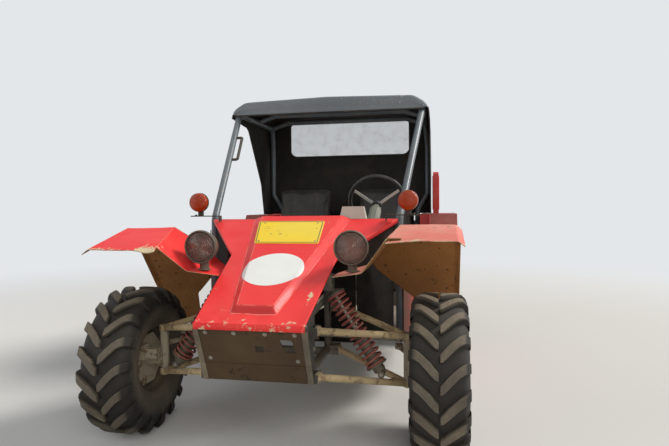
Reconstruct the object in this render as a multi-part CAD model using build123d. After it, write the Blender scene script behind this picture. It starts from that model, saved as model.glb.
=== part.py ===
from build123d import *
from math import acos, atan2, cos, degrees, hypot, radians, sin, tan
import os

os.makedirs("parts", exist_ok=True)

# Two-seat off-road buggy, in millimetres. X runs across the vehicle, +X to the driver's left, and the
# vehicle faces -Y. While it is built Y counts back from the front axle, and Z counts up from the floor
# on which a vehicle with axles at axle_z stands.

# Driving dimensions
wheelbase = 2050
track = 1370
front_overhang = 420
rear_overhang = 530
tyre_diameter = 660
tyre_width = 232
rim_diameter = 305
rim_width = 178
axle_z = 330
ground_clearance = 354
sheet = 3
fit = 0.3
tube_radius = 19
arm_radius = 14
bar_sides = 8
wheel_sides = 20
coil_sides = 6

overall_length = front_overhang + wheelbase + rear_overhang
overall_back_y = wheelbase + rear_overhang
bar_corner = 1 / cos(radians(180 / bar_sides))

# Nose, hood and cowl
nose_y, nose_z, nose_half = 11 - front_overhang, 600, 214
waist_y, waist_half = 64, 249
cowl_y, cowl_z, cowl_half = 404, 962, 484
hood_slope = (cowl_z - nose_z) / (cowl_y - nose_y)
hood_angle = degrees(atan2(cowl_z - nose_z, cowl_y - nose_y))
slant = 1 / cos(radians(hood_angle))
flange_depth = 22
nose_lip = 26
under_hood_gap = 8

# Cab and frame. What lies behind the seats keeps its distance from the rear axle.
rail_x = 180
rail_z = ground_clearance + tube_radius
rail_front_y, rail_back_y = -290, wheelbase + 300
tower_y = 150
floor_z = rail_z + tube_radius + fit
floor_top = floor_z + sheet
pillar_x, pillar_y, pillar_knee_z = 490, 440, 965
hoop_x, hoop_y, hoop_low_x = 601, wheelbase - 200, 525
roof_x, roof_front_y, roof_back_y, roof_z = 588, 1085, hoop_y - 60, 1628
sill_x = 585
side_x = 619 + fit
bed_rail_x, bed_rail_z = 470, 760
bed_z = bed_rail_z + tube_radius + fit
bed_front_y, bed_back_y = hoop_y + 40, wheelbase + 450
bed_half = 548 - fit
cargo_z = 966

# Front suspension and steering
king_x = 555
arm_in_x = rail_x + 48
arm_front_y = -275
lower_in_z = rail_z - 2
upper_in_z, upper_front_z = lower_in_z + 199, lower_in_z + 178
upper_out_z, lower_out_z = axle_z + 146, axle_z - 54
wheel_x = track / 2
hub_face = 13
cap_radius = 30
cap_bore = cap_radius * bar_corner + fit
steer_arm_y = 105
steer_wheel_centre = (340, 800, 1050)
steer_wheel_radius = 170
steer_tilt = 27
rack_y, rack_z = 95, rail_z + 77

# Rear suspension
rear_pivot_y, rear_pivot_z = wheelbase - 450, rail_z - 28
trail_cross_y = rear_pivot_y - 40
trail_arm_x = (300, 480)
rear_shock_x = 470


def save(node, *solids):
    """Writes one node, moved so that its origin is on the ground under the middle of the vehicle."""
    centred = Pos(0, front_overhang - overall_length / 2, tyre_diameter / 2 - axle_z)
    export_step(centred * Compound(children=list(solids)), f"parts/{node}.step")


def flip(shape):
    return mirror(shape, about=Plane.YZ)


def pair(shape):
    return shape, flip(shape)


def bar_section(radius, sides=bar_sides):
    """A bar's section: flats at the radius, one of them square to each axis."""
    return RegularPolygon(radius, sides, major_radius=False, rotation=180 / sides)


def mitred(points, bend):
    """The points of a bent line, with each corner taken in two mitres round its bend radius."""
    points = [Vector(*point) for point in points]
    line = [points[0]]
    for a, b, c in zip(points, points[1:], points[2:]):
        inward, outward = (b - a).normalized(), (c - b).normalized()
        turn = acos(max(-1, min(1, inward.dot(outward))))
        reach = bend * (tan(turn / 2) - tan(turn / 4))
        line += [b - inward * reach, b + outward * reach]
    return line + [points[-1]]


def tube(points, radius=tube_radius, bend=80, sides=bar_sides):
    path = Polyline(*mitred(points, bend)) if len(points) > 2 else Line(*points)
    section = Plane(origin=path @ 0, z_dir=path % 0) * bar_section(radius, sides)
    return sweep(section, path=path, transition=Transition.RIGHT)


def across(x0, x1, y, z, radius):
    """A bar along X."""
    return Pos(min(x0, x1), y, z) * Rot(0, 90, 0) * extrude(bar_section(radius), amount=abs(x1 - x0))


def along(y0, y1, x, z, radius):
    """A bar along Y."""
    return Pos(x, max(y0, y1), z) * Rot(90, 0, 0) * extrude(bar_section(radius), amount=abs(y1 - y0))


def upright(x, y, z0, z1, radius):
    return Pos(x, y, z0) * extrude(bar_section(radius), amount=z1 - z0)


def block(x0, x1, y0, y1, z0, z1):
    return Pos((x0 + x1) / 2, (y0 + y1) / 2, (z0 + z1) / 2) * Box(abs(x1 - x0), abs(y1 - y0), abs(z1 - z0))


def band(points, thickness):
    """The closed outline of a bent strip: the points, then the same line set off to its right."""
    moved = []
    for i, (a, b) in enumerate(points):
        before, after = points[max(i - 1, 0)], points[min(i + 1, len(points) - 1)]
        normals = []
        for p, q in ((before, (a, b)), ((a, b), after)):
            length = hypot(q[0] - p[0], q[1] - p[1])
            if length:
                normals.append(((q[1] - p[1]) / length, (p[0] - q[0]) / length))
        n0, n1 = normals[0], normals[-1]
        scale = thickness / (1 + n0[0] * n1[0] + n0[1] * n1[1])
        moved.append((a + (n0[0] + n1[0]) * scale, b + (n0[1] + n1[1]) * scale))
    return make_face(Polyline(*points, *reversed(moved), close=True))


def polygon(*points):
    return make_face(Polyline(*points, close=True))


def front_view(face, y0, y1):
    """Extrudes a face drawn in (x, z) from y0 to y1."""
    return extrude(Plane(origin=(0, y0, 0), x_dir=(1, 0, 0), z_dir=(0, -1, 0)) * face, amount=-(y1 - y0))


def side_view(face, x0, x1):
    """Extrudes a face drawn in (y, z) from x0 to x1."""
    return extrude(Plane(origin=(x0, 0, 0), x_dir=(0, 1, 0), z_dir=(1, 0, 0)) * face, amount=x1 - x0)


def top_view(face, z0, z1):
    return extrude(Pos(0, 0, z0) * face, amount=z1 - z0)


def turned(sections, sides):
    """A flat-sided lamp body that faces -Y, from pairs of distance behind its front and radius."""
    solid = None
    for (y0, r0), (y1, r1) in zip(sections, sections[1:]):
        faces = [
            Plane(origin=(0, y, 0), x_dir=(1, 0, 0), z_dir=(0, 1, 0)) * bar_section(r, sides)
            for y, r in ((y0, r0), (y1, r1))
        ]
        slice_between = loft(faces, ruled=True)
        solid = solid + slice_between if solid else slice_between
    return solid


def hood_z(y):
    return nose_z + hood_slope * (y - nose_y)


# Wheels: a chevron-lug tyre on a pressed steel rim, made about the X axis with its outer side at +X

lug_height = 20
tyre_half = tyre_width / 2
tyre_radius = tyre_diameter / 2
rim_radius = rim_diameter / 2
bead_half = rim_width / 2 - 5


def ring(*points, sides=wheel_sides):
    """A flat-sided ring about the X axis from its section, given as (x, distance of the flat)."""
    step = radians(360 / sides)
    corner = rim_radius / cos(step / 2)
    corners = [(0, corner * sin(step * (i + 0.5)), corner * cos(step * (i + 0.5))) for i in range(sides)]
    path = Polyline((0, 0, rim_radius), *corners, close=True)
    section = Plane(origin=(0, 0, 0), x_dir=(1, 0, 0), z_dir=(0, -1, 0)) * polygon(*points)
    return sweep(section, path=path, transition=Transition.RIGHT)


def make_tyre():
    base = tyre_radius - lug_height
    wall = tyre_half - 6
    carcass = ring(
        (-bead_half + 1, rim_radius + fit),
        (-wall, rim_radius + 50),
        (-wall, base - 50),
        (-tyre_half + 24, base),
        (tyre_half - 24, base),
        (wall, base - 50),
        (wall, rim_radius + 50),
        (bead_half - 1, rim_radius + fit),
    )
    envelope = ring(
        (-tyre_half, base - 42),
        (-tyre_half + 28, tyre_radius),
        (tyre_half - 28, tyre_radius),
        (tyre_half, base - 42),
        (tyre_half - 30, base - 6),
        (-tyre_half + 30, base - 6),
    )
    # One lug reaches from the middle to the shoulder: (x, distance round the tread)
    lug = polygon((4, -20), (30, -26), (tyre_half + 5, 34), (tyre_half + 5, 76), (10, 12))
    right = extrude(Pos(0, 0, tyre_radius + 5) * lug, amount=-110) & envelope
    left = Rot(360 / wheel_sides, 0, 0) * flip(right)
    pitch = 720 / wheel_sides
    lugs = [Rot(pitch * i, 0, 0) * arm for i in range(wheel_sides // 2) for arm in (right, left)]
    return carcass.fuse(*lugs)


def make_rim():
    half = rim_width / 2
    inside = rim_radius - 6
    return ring(
        (-half, rim_radius + 10),
        (-bead_half, rim_radius),
        (bead_half, rim_radius),
        (half, rim_radius + 10),
        (half, inside),
        (24, inside),
        (-hub_face + 8, cap_bore),
        (-hub_face, cap_bore),
        (16, inside),
        (-half, inside),
    )


tyre = make_tyre()
rim = make_rim()
for place, y in (("front", 0), ("rear", wheelbase)):
    left = Pos(wheel_x, y, axle_z)
    save(f"{place}_tyre_left", left * tyre)
    save(f"{place}_rim_left", left * rim)
    save(f"{place}_tyre_right", flip(left * tyre))
    save(f"{place}_rim_right", flip(left * rim))

# Lower frame: two long rails, the sills, cross-members, the front towers and the raised hood rails,
# each cut to its neighbour. The arms' bushes hang between the ears of small brackets.

strut_radius = 16
tower_radius = 17
cross_radius = 18
rail_twist = 0.6
hood_rail_drop = (tube_radius + rail_twist + sheet + fit) * slant
bush_half = 26
lug_thick = 5
lug_reach = 6
ear_gap = bush_half + fit
ear_end = ear_gap + lug_thick
shock_top = (232, -50, 690)


def hood_rail_z(y):
    return hood_z(y) - hood_rail_drop


def inner_rail_side(radius):
    """Where a bar ends that meets a rail's outer side, if the rail has this radius."""
    return rail_x + radius + fit


hood_rail = [
    (rail_x - 2, nose_y + 29, hood_rail_z(nose_y + 29)),
    (rail_x - 2, -200, hood_rail_z(-200)),
    (213, 70, hood_rail_z(70)),
    (428, 392, hood_rail_z(392)),
]
sill = [
    (pillar_x - 7, pillar_y - 19, rail_z),
    (sill_x, 700, rail_z),
    (sill_x, trail_cross_y + tube_radius, rail_z),
]
rail_notch = tube(hood_rail, radius=tube_radius + fit, bend=120)
rail_start, rail_end = rail_front_y - tube_radius, rail_back_y + tube_radius
pillar_cross_end = pillar_x + 17
sill_end = sill_x - tube_radius - fit

# Cross-members: y, radius, where the piece outside the rails ends (or none)
crosses = [
    (rail_front_y, cross_radius, None),
    (rack_y, cross_radius, None),
    (pillar_y, tube_radius, pillar_cross_end),
    (1000, cross_radius, sill_end),
    (trail_cross_y, cross_radius, sill_end),
    (hoop_y, tube_radius, hoop_low_x + tube_radius),
    (rail_back_y, cross_radius, None),
]


def bracket(x0, x1, y, z, high):
    """A web plate and two ears that hold a bush between them."""
    web = block(x0, x0 + lug_thick, y - ear_end, y + ear_end, z - high, z + high)
    near = block(x0, x1, y - ear_end, y - ear_gap, z - high, z + high)
    far = block(x0, x1, y + ear_gap, y + ear_end, z - high, z + high)
    return web + near + far


strut_top = (rail_x - 2, nose_y + 44, hood_rail_z(nose_y + 44))
strut = tube([(rail_x, rail_front_y, rail_z), strut_top], radius=strut_radius)
strut -= along(rail_start, rail_end, rail_x, rail_z, tube_radius + fit)
tower_top = hood_rail_z(tower_y) - cross_radius - fit
ear_x = arm_in_x + lug_reach
side_pieces = [
    along(rail_start, rail_end, rail_x, rail_z, tube_radius),
    tube(hood_rail, bend=120),
    tube(sill, bend=120) - block(0, sill_x, 0, pillar_y + tube_radius + fit, 0, 2 * rail_z),
    strut - rail_notch,
    upright(rail_x, tower_y, floor_z, tower_top, tower_radius),
    bracket(inner_rail_side(tube_radius), ear_x, tower_y, lower_in_z, 18),
    bracket(inner_rail_side(tower_radius), ear_x, tower_y, upper_in_z, 21),
    bracket(192, shock_top[0] + 14, shock_top[1], shock_top[2] + 16, 32) - rail_notch,
]
hood_cross = across(-266, 266, tower_y, hood_rail_z(tower_y), cross_radius)
frame_pieces = [hood_cross - rail_notch - flip(rail_notch)]
rail_gap_half = rail_x - tube_radius - fit
for y, radius, end in crosses:
    frame_pieces.append(across(-rail_gap_half, rail_gap_half, y, rail_z, radius))
    if end and y != trail_cross_y:
        side_pieces.append(across(inner_rail_side(tube_radius), end, y, rail_z, radius))
trail_cross = across(inner_rail_side(tube_radius), sill_end, trail_cross_y, rail_z, cross_radius)
for x in trail_arm_x:
    for x0, x1 in ((x - ear_end, x - ear_gap), (x + ear_gap, x + ear_end)):
        trail_cross += block(x0, x1, trail_cross_y + 5, rear_pivot_y + 3, rear_pivot_z - 15, rail_z - 1)
side_pieces.append(trail_cross)
for piece in side_pieces:
    frame_pieces += pair(piece)
save("frame", *frame_pieces)

# Roll cage: each side is one bent tube from the sill over the roof to the floor behind the seats

cage_side = [
    (pillar_x, pillar_y, floor_z),
    (pillar_x, pillar_y, pillar_knee_z),
    (roof_x, roof_front_y, roof_z),
    (roof_x, roof_back_y, roof_z),
    (hoop_x, hoop_y, roof_z - 148),
    (hoop_x, hoop_y, 1120),
    (hoop_low_x, hoop_y, 1000),
    (hoop_low_x, hoop_y, floor_z),
]
bow_rise = 44
bow_inset = 14
cage_parts = list(pair(tube(cage_side, bend=70)))
for y in (roof_front_y + bow_inset, (roof_front_y + roof_back_y) / 2, roof_back_y - bow_inset):
    half_bow = [(roof_x, roof_z), (roof_x - 130, roof_z + bow_rise)]
    bow = [(-x, y, z) for x, z in half_bow] + [(x, y, z) for x, z in reversed(half_bow)]
    cage_parts.append(tube(bow, radius=cross_radius, bend=60))
cage_parts.append(across(-hoop_low_x, hoop_low_x, hoop_y, 900, cross_radius))
save("roll_cage", cage_parts[0].fuse(*cage_parts[1:]))

grab_foot, grab_offset = tube_radius + 1.5, 52
grab_points = []
for t, reach in ((0.52, grab_foot), (0.52, grab_offset), (0.74, grab_offset), (0.74, grab_foot)):
    x = pillar_x + (roof_x - pillar_x) * t
    y = pillar_y + (roof_front_y - pillar_y) * t
    z = pillar_knee_z + (roof_z - pillar_knee_z) * t
    grab_points.append((-(x - reach), y, z))
save("grab_handle", tube(grab_points, radius=8, bend=12))

# Floor, bulkheads and sides

floor_outline = [
    (295, 178), (452, 402), (466, 440), (558, 700), (580, 1000),
    (580, hoop_y - 210), (500, hoop_y - 190), (500, hoop_y - 4),
]
floor_face = polygon(*floor_outline, *[(-x, y) for x, y in reversed(floor_outline)])
save("floor_pan", top_view(floor_face, floor_z, floor_top))

column_dir = Vector(0, cos(radians(steer_tilt)), sin(radians(steer_tilt)))
hub = Vector(*steer_wheel_centre)
column_top = hub - column_dir * 60
column_low = hub - column_dir * 560
pinion = Vector(58.6, rack_y + 22.5, rack_z + 23.8)
under_hood_line = [(y, hood_z(y) - under_hood_gap) for y in (nose_y - 100, 600)]
under_hood = side_view(polygon(*under_hood_line, (600, 2000), (nose_y - 100, 2000)), -900, 900)
shaft_hole = tube([column_low, pinion], radius=24)

toe_y = tower_y + ear_end + 2 * fit
toe_board = block(-306, 306, toe_y, toe_y + sheet, floor_top + fit, 1000)
toe_board = toe_board - under_hood - shaft_hole - rail_notch - flip(rail_notch)
footwell = top_view(band([(312, 182), (460, 404)], sheet), floor_z, 1100) - under_hood - rail_notch

side_plan = [
    (508, 425), (side_x, 718), (side_x, hoop_y - 205),
    (bed_half + fit, hoop_y - 178), (bed_half + fit, bed_back_y),
]
side_low_z = ground_clearance + 2
side_profile = [
    (300, side_low_z), (300, 905), (455, 905), (560, 640), (640, 600),
    (hoop_y - 420, 600), (hoop_y - 380, 640), (hoop_y - 310, 940), (hoop_y - 270, cargo_z),
    (bed_back_y + 20, cargo_z), (bed_back_y + 20, 640), (hoop_y - 130, 640), (hoop_y - 210, side_low_z),
]
side_panel = top_view(band(side_plan, sheet), 300, 1000) & side_view(polygon(*side_profile), 0, 900)
save("side_panels", *pair(side_panel))

firewall_y = hoop_y - tube_radius - fit - sheet
firewall = block(-500, 500, firewall_y, firewall_y + sheet, floor_top + fit, 975)
save("bulkheads", toe_board, firewall, *pair(footwell))

# Hood: a creased sheet with a raised middle, turned down along its sides and nose

hood_normal = (0, -sin(radians(hood_angle)), cos(radians(hood_angle)))
hood_plane = Plane(origin=(0, nose_y, nose_z), x_dir=(1, 0, 0), z_dir=hood_normal)


def on_hood(x, y):
    return x, (y - nose_y) * slant


hood_edge = [(nose_half, nose_y), (waist_half, waist_y), (cowl_half, cowl_y)]
hood_outline = [on_hood(x, y) for x, y in hood_edge] + [on_hood(-x, y) for x, y in reversed(hood_edge)]
plateau_low = [(95, nose_y + 62), (268, cowl_y - 6)]
plateau_high = [(70, nose_y + 115), (236, cowl_y - 6)]
plateau_height = 20


def plateau(drop):
    faces = []
    for corners, height in ((plateau_low, 0), (plateau_high, plateau_height)):
        points = [on_hood(x, y) for x, y in corners] + [on_hood(-x, y) for x, y in reversed(corners)]
        faces.append(hood_plane * (Pos(0, 0, height - drop) * polygon(*points)))
    return loft(faces, ruled=True)


hood_sheet = extrude(hood_plane * polygon(*hood_outline), amount=-sheet)
flange_face = hood_plane * band([on_hood(*hood_edge[1]), on_hood(*hood_edge[2])], -sheet)
flange = extrude(flange_face, amount=-flange_depth)
lip = block(-nose_half, nose_half, -front_overhang, sheet - front_overhang, nose_z - nose_lip, nose_z)
lip_bend = block(-nose_half, nose_half, -front_overhang, nose_y + 2, nose_z - sheet, nose_z)
hood = hood_sheet + plateau(0) - plateau(sheet) + flange + flip(flange) + lip + lip_bend
save("hood", hood)

# Nose box: a front plate that leans back between two side plates, which carry the front arm pivots

nose_top, nose_low = (nose_y + 4, nose_z - 29), (rail_front_y - 20, ground_clearance)
plate_low_z = ground_clearance + 76
lean = (nose_top[0] - nose_low[0]) / (nose_top[1] - nose_low[1])
plate_low_y = nose_top[0] + lean * (plate_low_z - nose_top[1])
plate_half = rail_x + tube_radius - fit
front_plate = side_view(band([(plate_low_y, plate_low_z), nose_top], sheet), -plate_half, plate_half)
slot = Pos(30, nose_top[0], 496) * Box(34, 200, 24)
flap_hole = front_view(polygon((112, 540), (158, 536), (168, 484), (126, 488)), nose_y - 100, nose_y + 110)
drain = Pos(66, nose_top[0], 492) * Box(26, 200, 7)
front_plate = front_plate - slot - flap_hole - drain

cheek_x, cheek_thick = plate_half + 2 * fit, 4
cheek_back_y = -215
cheek_outline = [
    nose_top, (nose_top[0] + 12, hood_z(nose_top[0] + 12) - under_hood_gap),
    (cheek_back_y, hood_z(cheek_back_y) - under_hood_gap), (cheek_back_y, ground_clearance), nose_low,
]
cheek = side_view(polygon(*cheek_outline), cheek_x, cheek_x + cheek_thick)
for z in (lower_in_z, upper_front_z):
    cheek += bracket(cheek_x, ear_x, arm_front_y, z, 17)
save("nose_plates", front_plate, *pair(cheek))

# Front fenders: each is a folded sheet with the lamp shelf, the sloped inner wall, the top and the
# rear wall behind the tyre. Heights are (y, z); the right one is bent down at its front lip.

shelf_in, shelf_out = (shock_top[0] + 14 + fit, 732), (377, 755)
inner_rise = 1.29
fender_x, fender_edge = 779, 24


def make_fender(lip_z, crown_z):
    crown_x = shelf_out[0] + (crown_z - shelf_out[1]) / inner_rise
    profile = [(-268, lip_z), (40, crown_z), (172, crown_z - 83), (372, 590), (455, 425)]
    face = band(profile, sheet)
    body = side_view(face, 370, fender_x - fender_edge)
    edge_planes = [
        Plane(origin=(x, 0, 0), x_dir=(0, 1, 0), z_dir=(1, 0, 0)) for x in (fender_x - fender_edge, fender_x)
    ]
    edge = loft([edge_planes[0] * face, edge_planes[1] * (Pos(0, -20, 0) * face)], ruled=True)
    keep = polygon(
        shelf_out, (394, 728), (563, 578), (590, 380), (900, 380), (900, crown_z + 60),
        (crown_x + 60 / inner_rise, crown_z + 60),
    )
    panel = (body + edge) & front_view(keep, -400, 600)
    wall = front_view(band([shelf_in, shelf_out, (crown_x, crown_z)], sheet), -300, 330)
    front_edge = [(200, -320), (490, -320), (490, -262), (shelf_out[0], -134), (shelf_in[0], -98), (200, -98)]
    front_cut = top_view(polygon(*front_edge), 500, 1100)
    gap = 1.25 * fit
    hood_side = [(waist_half + gap, waist_y), (cowl_half + gap, cowl_y), (cowl_half + gap, 700)]
    inner_cut = top_view(polygon((0, waist_y), *hood_side, (0, 700)), 500, 1100)
    above_line = [*profile[:4], (600, 590), (600, 1200), (-400, 1200), (-400, lip_z)]
    above = side_view(polygon(*above_line), 150, 900)
    return panel + (wall - front_cut - above) - inner_cut


save("front_fenders", make_fender(895, 945), flip(make_fender(852, 934)))

# Headlights on the shelves: a bowl on a foot, with a round glass set in its rim

lamp_centre = (330, -92, 854)
lamp_radius, glass_radius, lamp_sides = 73, 66, 16
foot_radius, foot_behind = 20, 40
shelf_rise = (shelf_out[1] - shelf_in[1]) / (shelf_out[0] - shelf_in[0])
shelf_under_lamp = shelf_in[1] + (lamp_centre[0] + foot_radius - shelf_in[0]) * shelf_rise
bowl = turned([(-6, lamp_radius), (8, lamp_radius), (60, 60), (104, 34)], lamp_sides)
bowl -= turned([(-7, glass_radius), (6, glass_radius)], lamp_sides)
foot_y = lamp_centre[1] + foot_behind
foot = upright(lamp_centre[0], foot_y, shelf_under_lamp + fit, lamp_centre[2] - 50, foot_radius)
save("headlight_bowls", *pair(Pos(*lamp_centre) * bowl + foot))

glass_edge = glass_radius - fit
lens = turned([(6 - fit, glass_edge), (0, glass_edge), (-7, 44), (-11, 16)], lamp_sides)
save("headlight_lenses", *pair(Pos(*lamp_centre) * lens))

# Indicators on bars from the hood's rear corners

blinker = (539, 344, 1052)
blinker_radius, blinker_sides = 50, 12
dome = turned([(12, blinker_radius), (-4, blinker_radius), (-20, 38), (-28, 14)], blinker_sides)
save("indicator_lenses", *pair(Pos(*blinker) * dome))
cup = turned([(12 + fit, blinker_radius), (20, blinker_radius), (40, 30)], blinker_sides)
bar_z, bar_thick = 978, 5
bar_y0, bar_y1 = blinker[1] + 12, blinker[1] + 40
bar_x0, bar_x1 = 428, blinker[0] + 51
socket = upright(blinker[0], blinker[1] + 29, bar_z + 2, bar_z + 54, 15)
bar = block(bar_x0, bar_x1, bar_y0, bar_y1, bar_z, bar_z + bar_thick)
leg = block(bar_x0, bar_x0 + bar_thick, bar_y0, bar_y1, hood_z(bar_y1) + fit, bar_z + 2)
save("indicator_holders", *pair(Pos(*blinker) * cup + socket + bar + leg))

# Dashboard, column and wheel

shaft_cut = tube([column_top, column_low], radius=36)
dash_y, dash_half, dash_low_z = 470, 466, 720
dash_front = cowl_y + sheet * sin(radians(hood_angle)) + fit
dash_line = [(dash_front, cowl_z), (dash_y, cowl_z), (dash_y, dash_low_z)]
save("dashboard", side_view(band(dash_line, sheet), -dash_half, dash_half) - shaft_cut)

pod = extrude(polygon((-67, -31), (67, -31), (67, 31), (-67, 31)), amount=62, taper=12)
save("instrument_pod", Pos(258, dash_y - 32, cowl_z + fit) * pod)

shroud = tube([column_top - column_dir * 40, column_top - column_dir * 250], radius=30)
upper_column = tube([column_top, column_low], radius=17)
lower_shaft = tube([column_low, pinion], radius=13)
joint_ball = tube([column_low + column_dir * 20, column_low - column_dir * 20], radius=22)
save("steering_column", upper_column + shroud + joint_ball + lower_shaft)

wheel_plane = Plane(origin=hub, x_dir=(1, 0, 0), z_dir=column_dir)
rim_wire = 13
grip_section = [(-1, -0.5), (-1, 0.5), (-0.5, 1), (0.5, 1), (1, 0.5), (1, -0.5), (0.5, -1), (-0.5, -1)]
grip_line = steer_wheel_radius - rim_wire
grip_points = [(x * rim_wire, grip_line + r * rim_wire) for x, r in grip_section]
grip = Rot(0, 90, 0) * ring(*grip_points, sides=20)
boss = upright(0, 0, -59, -29, 28)
spokes = []
for angle in (90, 210, 330):
    outer = Vector(grip_line * cos(radians(angle)), grip_line * sin(radians(angle)), 0)
    spokes.append(tube([Vector(0, 0, -44), outer], radius=6, sides=4))
save("steering_wheel", wheel_plane.location * grip.fuse(boss, *spokes))

# Rack and the tie rods that slide with it

rack_radius, housing_half, rod_half = 12, 150, 215
housing = across(-housing_half, housing_half, rack_y, rack_z, 2 * rack_radius)
housing -= across(-2 * housing_half, 2 * housing_half, rack_y, rack_z, rack_radius + fit)
foot_low_z, foot_top_z = rail_z + cross_radius + fit, rack_z - rack_radius - 6
for x in (-100, 100):
    housing += block(x - 15, x + 15, rack_y - 18, rack_y + 18, foot_low_z, foot_top_z)
save("steering_rack", housing)
rod_end = (510, steer_arm_y, axle_z + 100)
eye_radius = 17
rod_parts = [across(-rod_half, rod_half, rack_y, rack_z, rack_radius)]
for side in (-1, 1):
    inner_end = (side * (rod_half - 5), rack_y, rack_z)
    outer_end = (side * (rod_end[0] - 8), rod_end[1], rod_end[2] + 8)
    rod_parts.append(tube([inner_end, outer_end], radius=10))
    rod_parts.append(upright(side * rod_end[0], rod_end[1], rod_end[2] - 2, rod_end[2] + 18, eye_radius))
save("tie_rods", rod_parts[0].fuse(*rod_parts[1:]))

# Front arms and knuckles

ball_radius, ball_half = 22, 14


def make_arm(front_z, back_z, out_z):
    parts = [upright(king_x, 0, out_z - ball_half, out_z + ball_half, ball_radius)]
    for y, z in ((arm_front_y, front_z), (tower_y, back_z)):
        parts.append(along(y - bush_half, y + bush_half, arm_in_x, z, arm_radius + 2))
        parts.append(tube([(arm_in_x, y, z), (king_x, 0, out_z)], radius=arm_radius))
    return parts[0].fuse(*parts[1:])


upper_arm = make_arm(upper_front_z, upper_in_z, upper_out_z)
lower_arm = make_arm(lower_in_z, lower_in_z, lower_out_z)
king_low, king_high = lower_out_z + ball_half + fit, upper_out_z - ball_half - fit
gap_cut = upright(king_x, 0, king_low - fit, king_high + fit, 48)
save("front_arms", *pair(upper_arm - gap_cut), *pair(lower_arm - gap_cut))

disc_face = wheel_x - hub_face - fit
hub_radius, flange_radius, brake_radius = 30, 62, 112
steer_arm_z = axle_z + 64
caliper_x = disc_face - 40
knuckle_parts = [
    across(king_x, disc_face, 0, axle_z, hub_radius),
    across(disc_face - 14, disc_face, 0, axle_z, flange_radius),
    across(disc_face, disc_face + 30, 0, axle_z, cap_radius),
    across(disc_face - 34, disc_face - 28, 0, axle_z, brake_radius),
    block(caliper_x - 26, caliper_x + 26, -93, -47, axle_z + 17, axle_z + 83),
    block(king_x, caliper_x, -76, -10, axle_z + 22, axle_z + 64),
    tube([(king_x + 8, 0, axle_z + 70), (rod_end[0], steer_arm_y - 8, steer_arm_z + 11)], radius=11),
    upright(rod_end[0], steer_arm_y, steer_arm_z, steer_arm_z + 22, eye_radius),
]
knuckle = upright(king_x, 0, king_low, king_high, 18).fuse(*knuckle_parts)
save("knuckle_left", knuckle)
save("knuckle_right", flip(knuckle))

# Shocks and springs

shock_eye, rod_radius, body_radius = 14, 9, 25
seat_low, seat_thick, seat_radius = 36, 7, 46
coil_radius, coil_wire = 39, 9


def make_coil(height, turns):
    """A coil spring of square wire that stands on the XY plane."""
    count = turns * coil_sides
    sections = []
    for i in range(count + 1):
        turn = radians(360 * i / coil_sides)
        outward = Vector(cos(turn), sin(turn), 0)
        place = outward * coil_radius + Vector(0, 0, coil_wire / 2 + (height - coil_wire) * i / count)
        plane = Plane(origin=place, x_dir=outward, z_dir=(-sin(turn), cos(turn), 0))
        sections.append(plane * Rectangle(coil_wire, coil_wire))
    return loft(sections, ruled=True)


def make_shock(low, high, turns):
    """A damper and its coil spring between two eyes."""
    a, b = Vector(*low), Vector(*high)
    axis = (b - a).normalized()
    length = (b - a).length

    def bar(d0, d1, radius):
        return tube([a + axis * d0, a + axis * d1], radius=radius)

    rod_from = length * 0.42
    damper = bar(10, rod_from, body_radius).fuse(
        bar(rod_from, length - 10, rod_radius),
        bar(seat_low, seat_low + seat_thick, seat_radius),
        bar(length - seat_low - seat_thick, length - seat_low, seat_radius),
    )
    spring_low = seat_low + seat_thick + fit
    coil = make_coil(length - 2 * spring_low, turns)
    return damper, Plane(origin=a + axis * spring_low, z_dir=axis).location * coil


def lower_leg_z(x):
    """The middle of the lower arm's front leg."""
    return lower_in_z + (lower_out_z - lower_in_z) * (x - arm_in_x) / (king_x - arm_in_x)


front_low = (452, -77, lower_leg_z(452) + arm_radius + shock_eye + 4)
damper, coil = make_shock(front_low, shock_top, 8)
for x, y, z in (front_low, shock_top):
    damper += along(y - bush_half, y + bush_half, x, z, shock_eye)
shocks, springs = [*pair(damper)], [*pair(coil)]

# Rear trailing arms, shocks and shafts

carrier_x, carrier_radius = 470, 56
arm_back = (500, wheelbase - 40, axle_z - 6)
trail_parts = [
    across(carrier_x, king_x, wheelbase, axle_z, carrier_radius),
    across(king_x, disc_face, wheelbase, axle_z, hub_radius),
    across(disc_face - 14, disc_face, wheelbase, axle_z, flange_radius),
    across(disc_face, disc_face + 30, wheelbase, axle_z, cap_radius),
    across(disc_face - 40, disc_face - 34, wheelbase, axle_z, brake_radius),
]
for x in trail_arm_x:
    trail_parts.append(across(x - bush_half, x + bush_half, rear_pivot_y, rear_pivot_z, 18))
    trail_parts.append(tube([(x, rear_pivot_y, rear_pivot_z), arm_back], radius=17))
trail = trail_parts[0].fuse(*trail_parts[1:])
save("trailing_arms", *pair(trail))

rear_low = (rear_shock_x, wheelbase - 74, axle_z + 40)
rear_high = (rear_shock_x, wheelbase - 124, bed_rail_z - tube_radius - shock_eye - fit)
damper, coil = make_shock(rear_low, rear_high, 7)
for x, y, z in (rear_low, rear_high):
    damper += across(x - bush_half, x + bush_half, y, z, shock_eye)
save("shocks", *shocks, *pair(damper - trail))
save("springs", *springs, *pair(coil))

gearbox_x, shaft_radius, joint_radius = 120, 14, 38
shaft = across(gearbox_x + fit, carrier_x - fit, wheelbase, axle_z, shaft_radius)
for x0, x1 in ((gearbox_x + fit, gearbox_x + 34), (carrier_x - 70, carrier_x - fit)):
    shaft += across(x0, x1, wheelbase, axle_z, joint_radius)
save("drive_shafts", *pair(shaft))

engine = block(-210, 210, hoop_y + 55, rail_back_y - 40, floor_z, 735)
gearbox = block(-gearbox_x, gearbox_x, wheelbase - 85, wheelbase + 100, axle_z - 68, floor_z)
save("engine_block", engine + gearbox)

# Rear frame, hitch tongue, cargo bed and rear fenders

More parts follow.
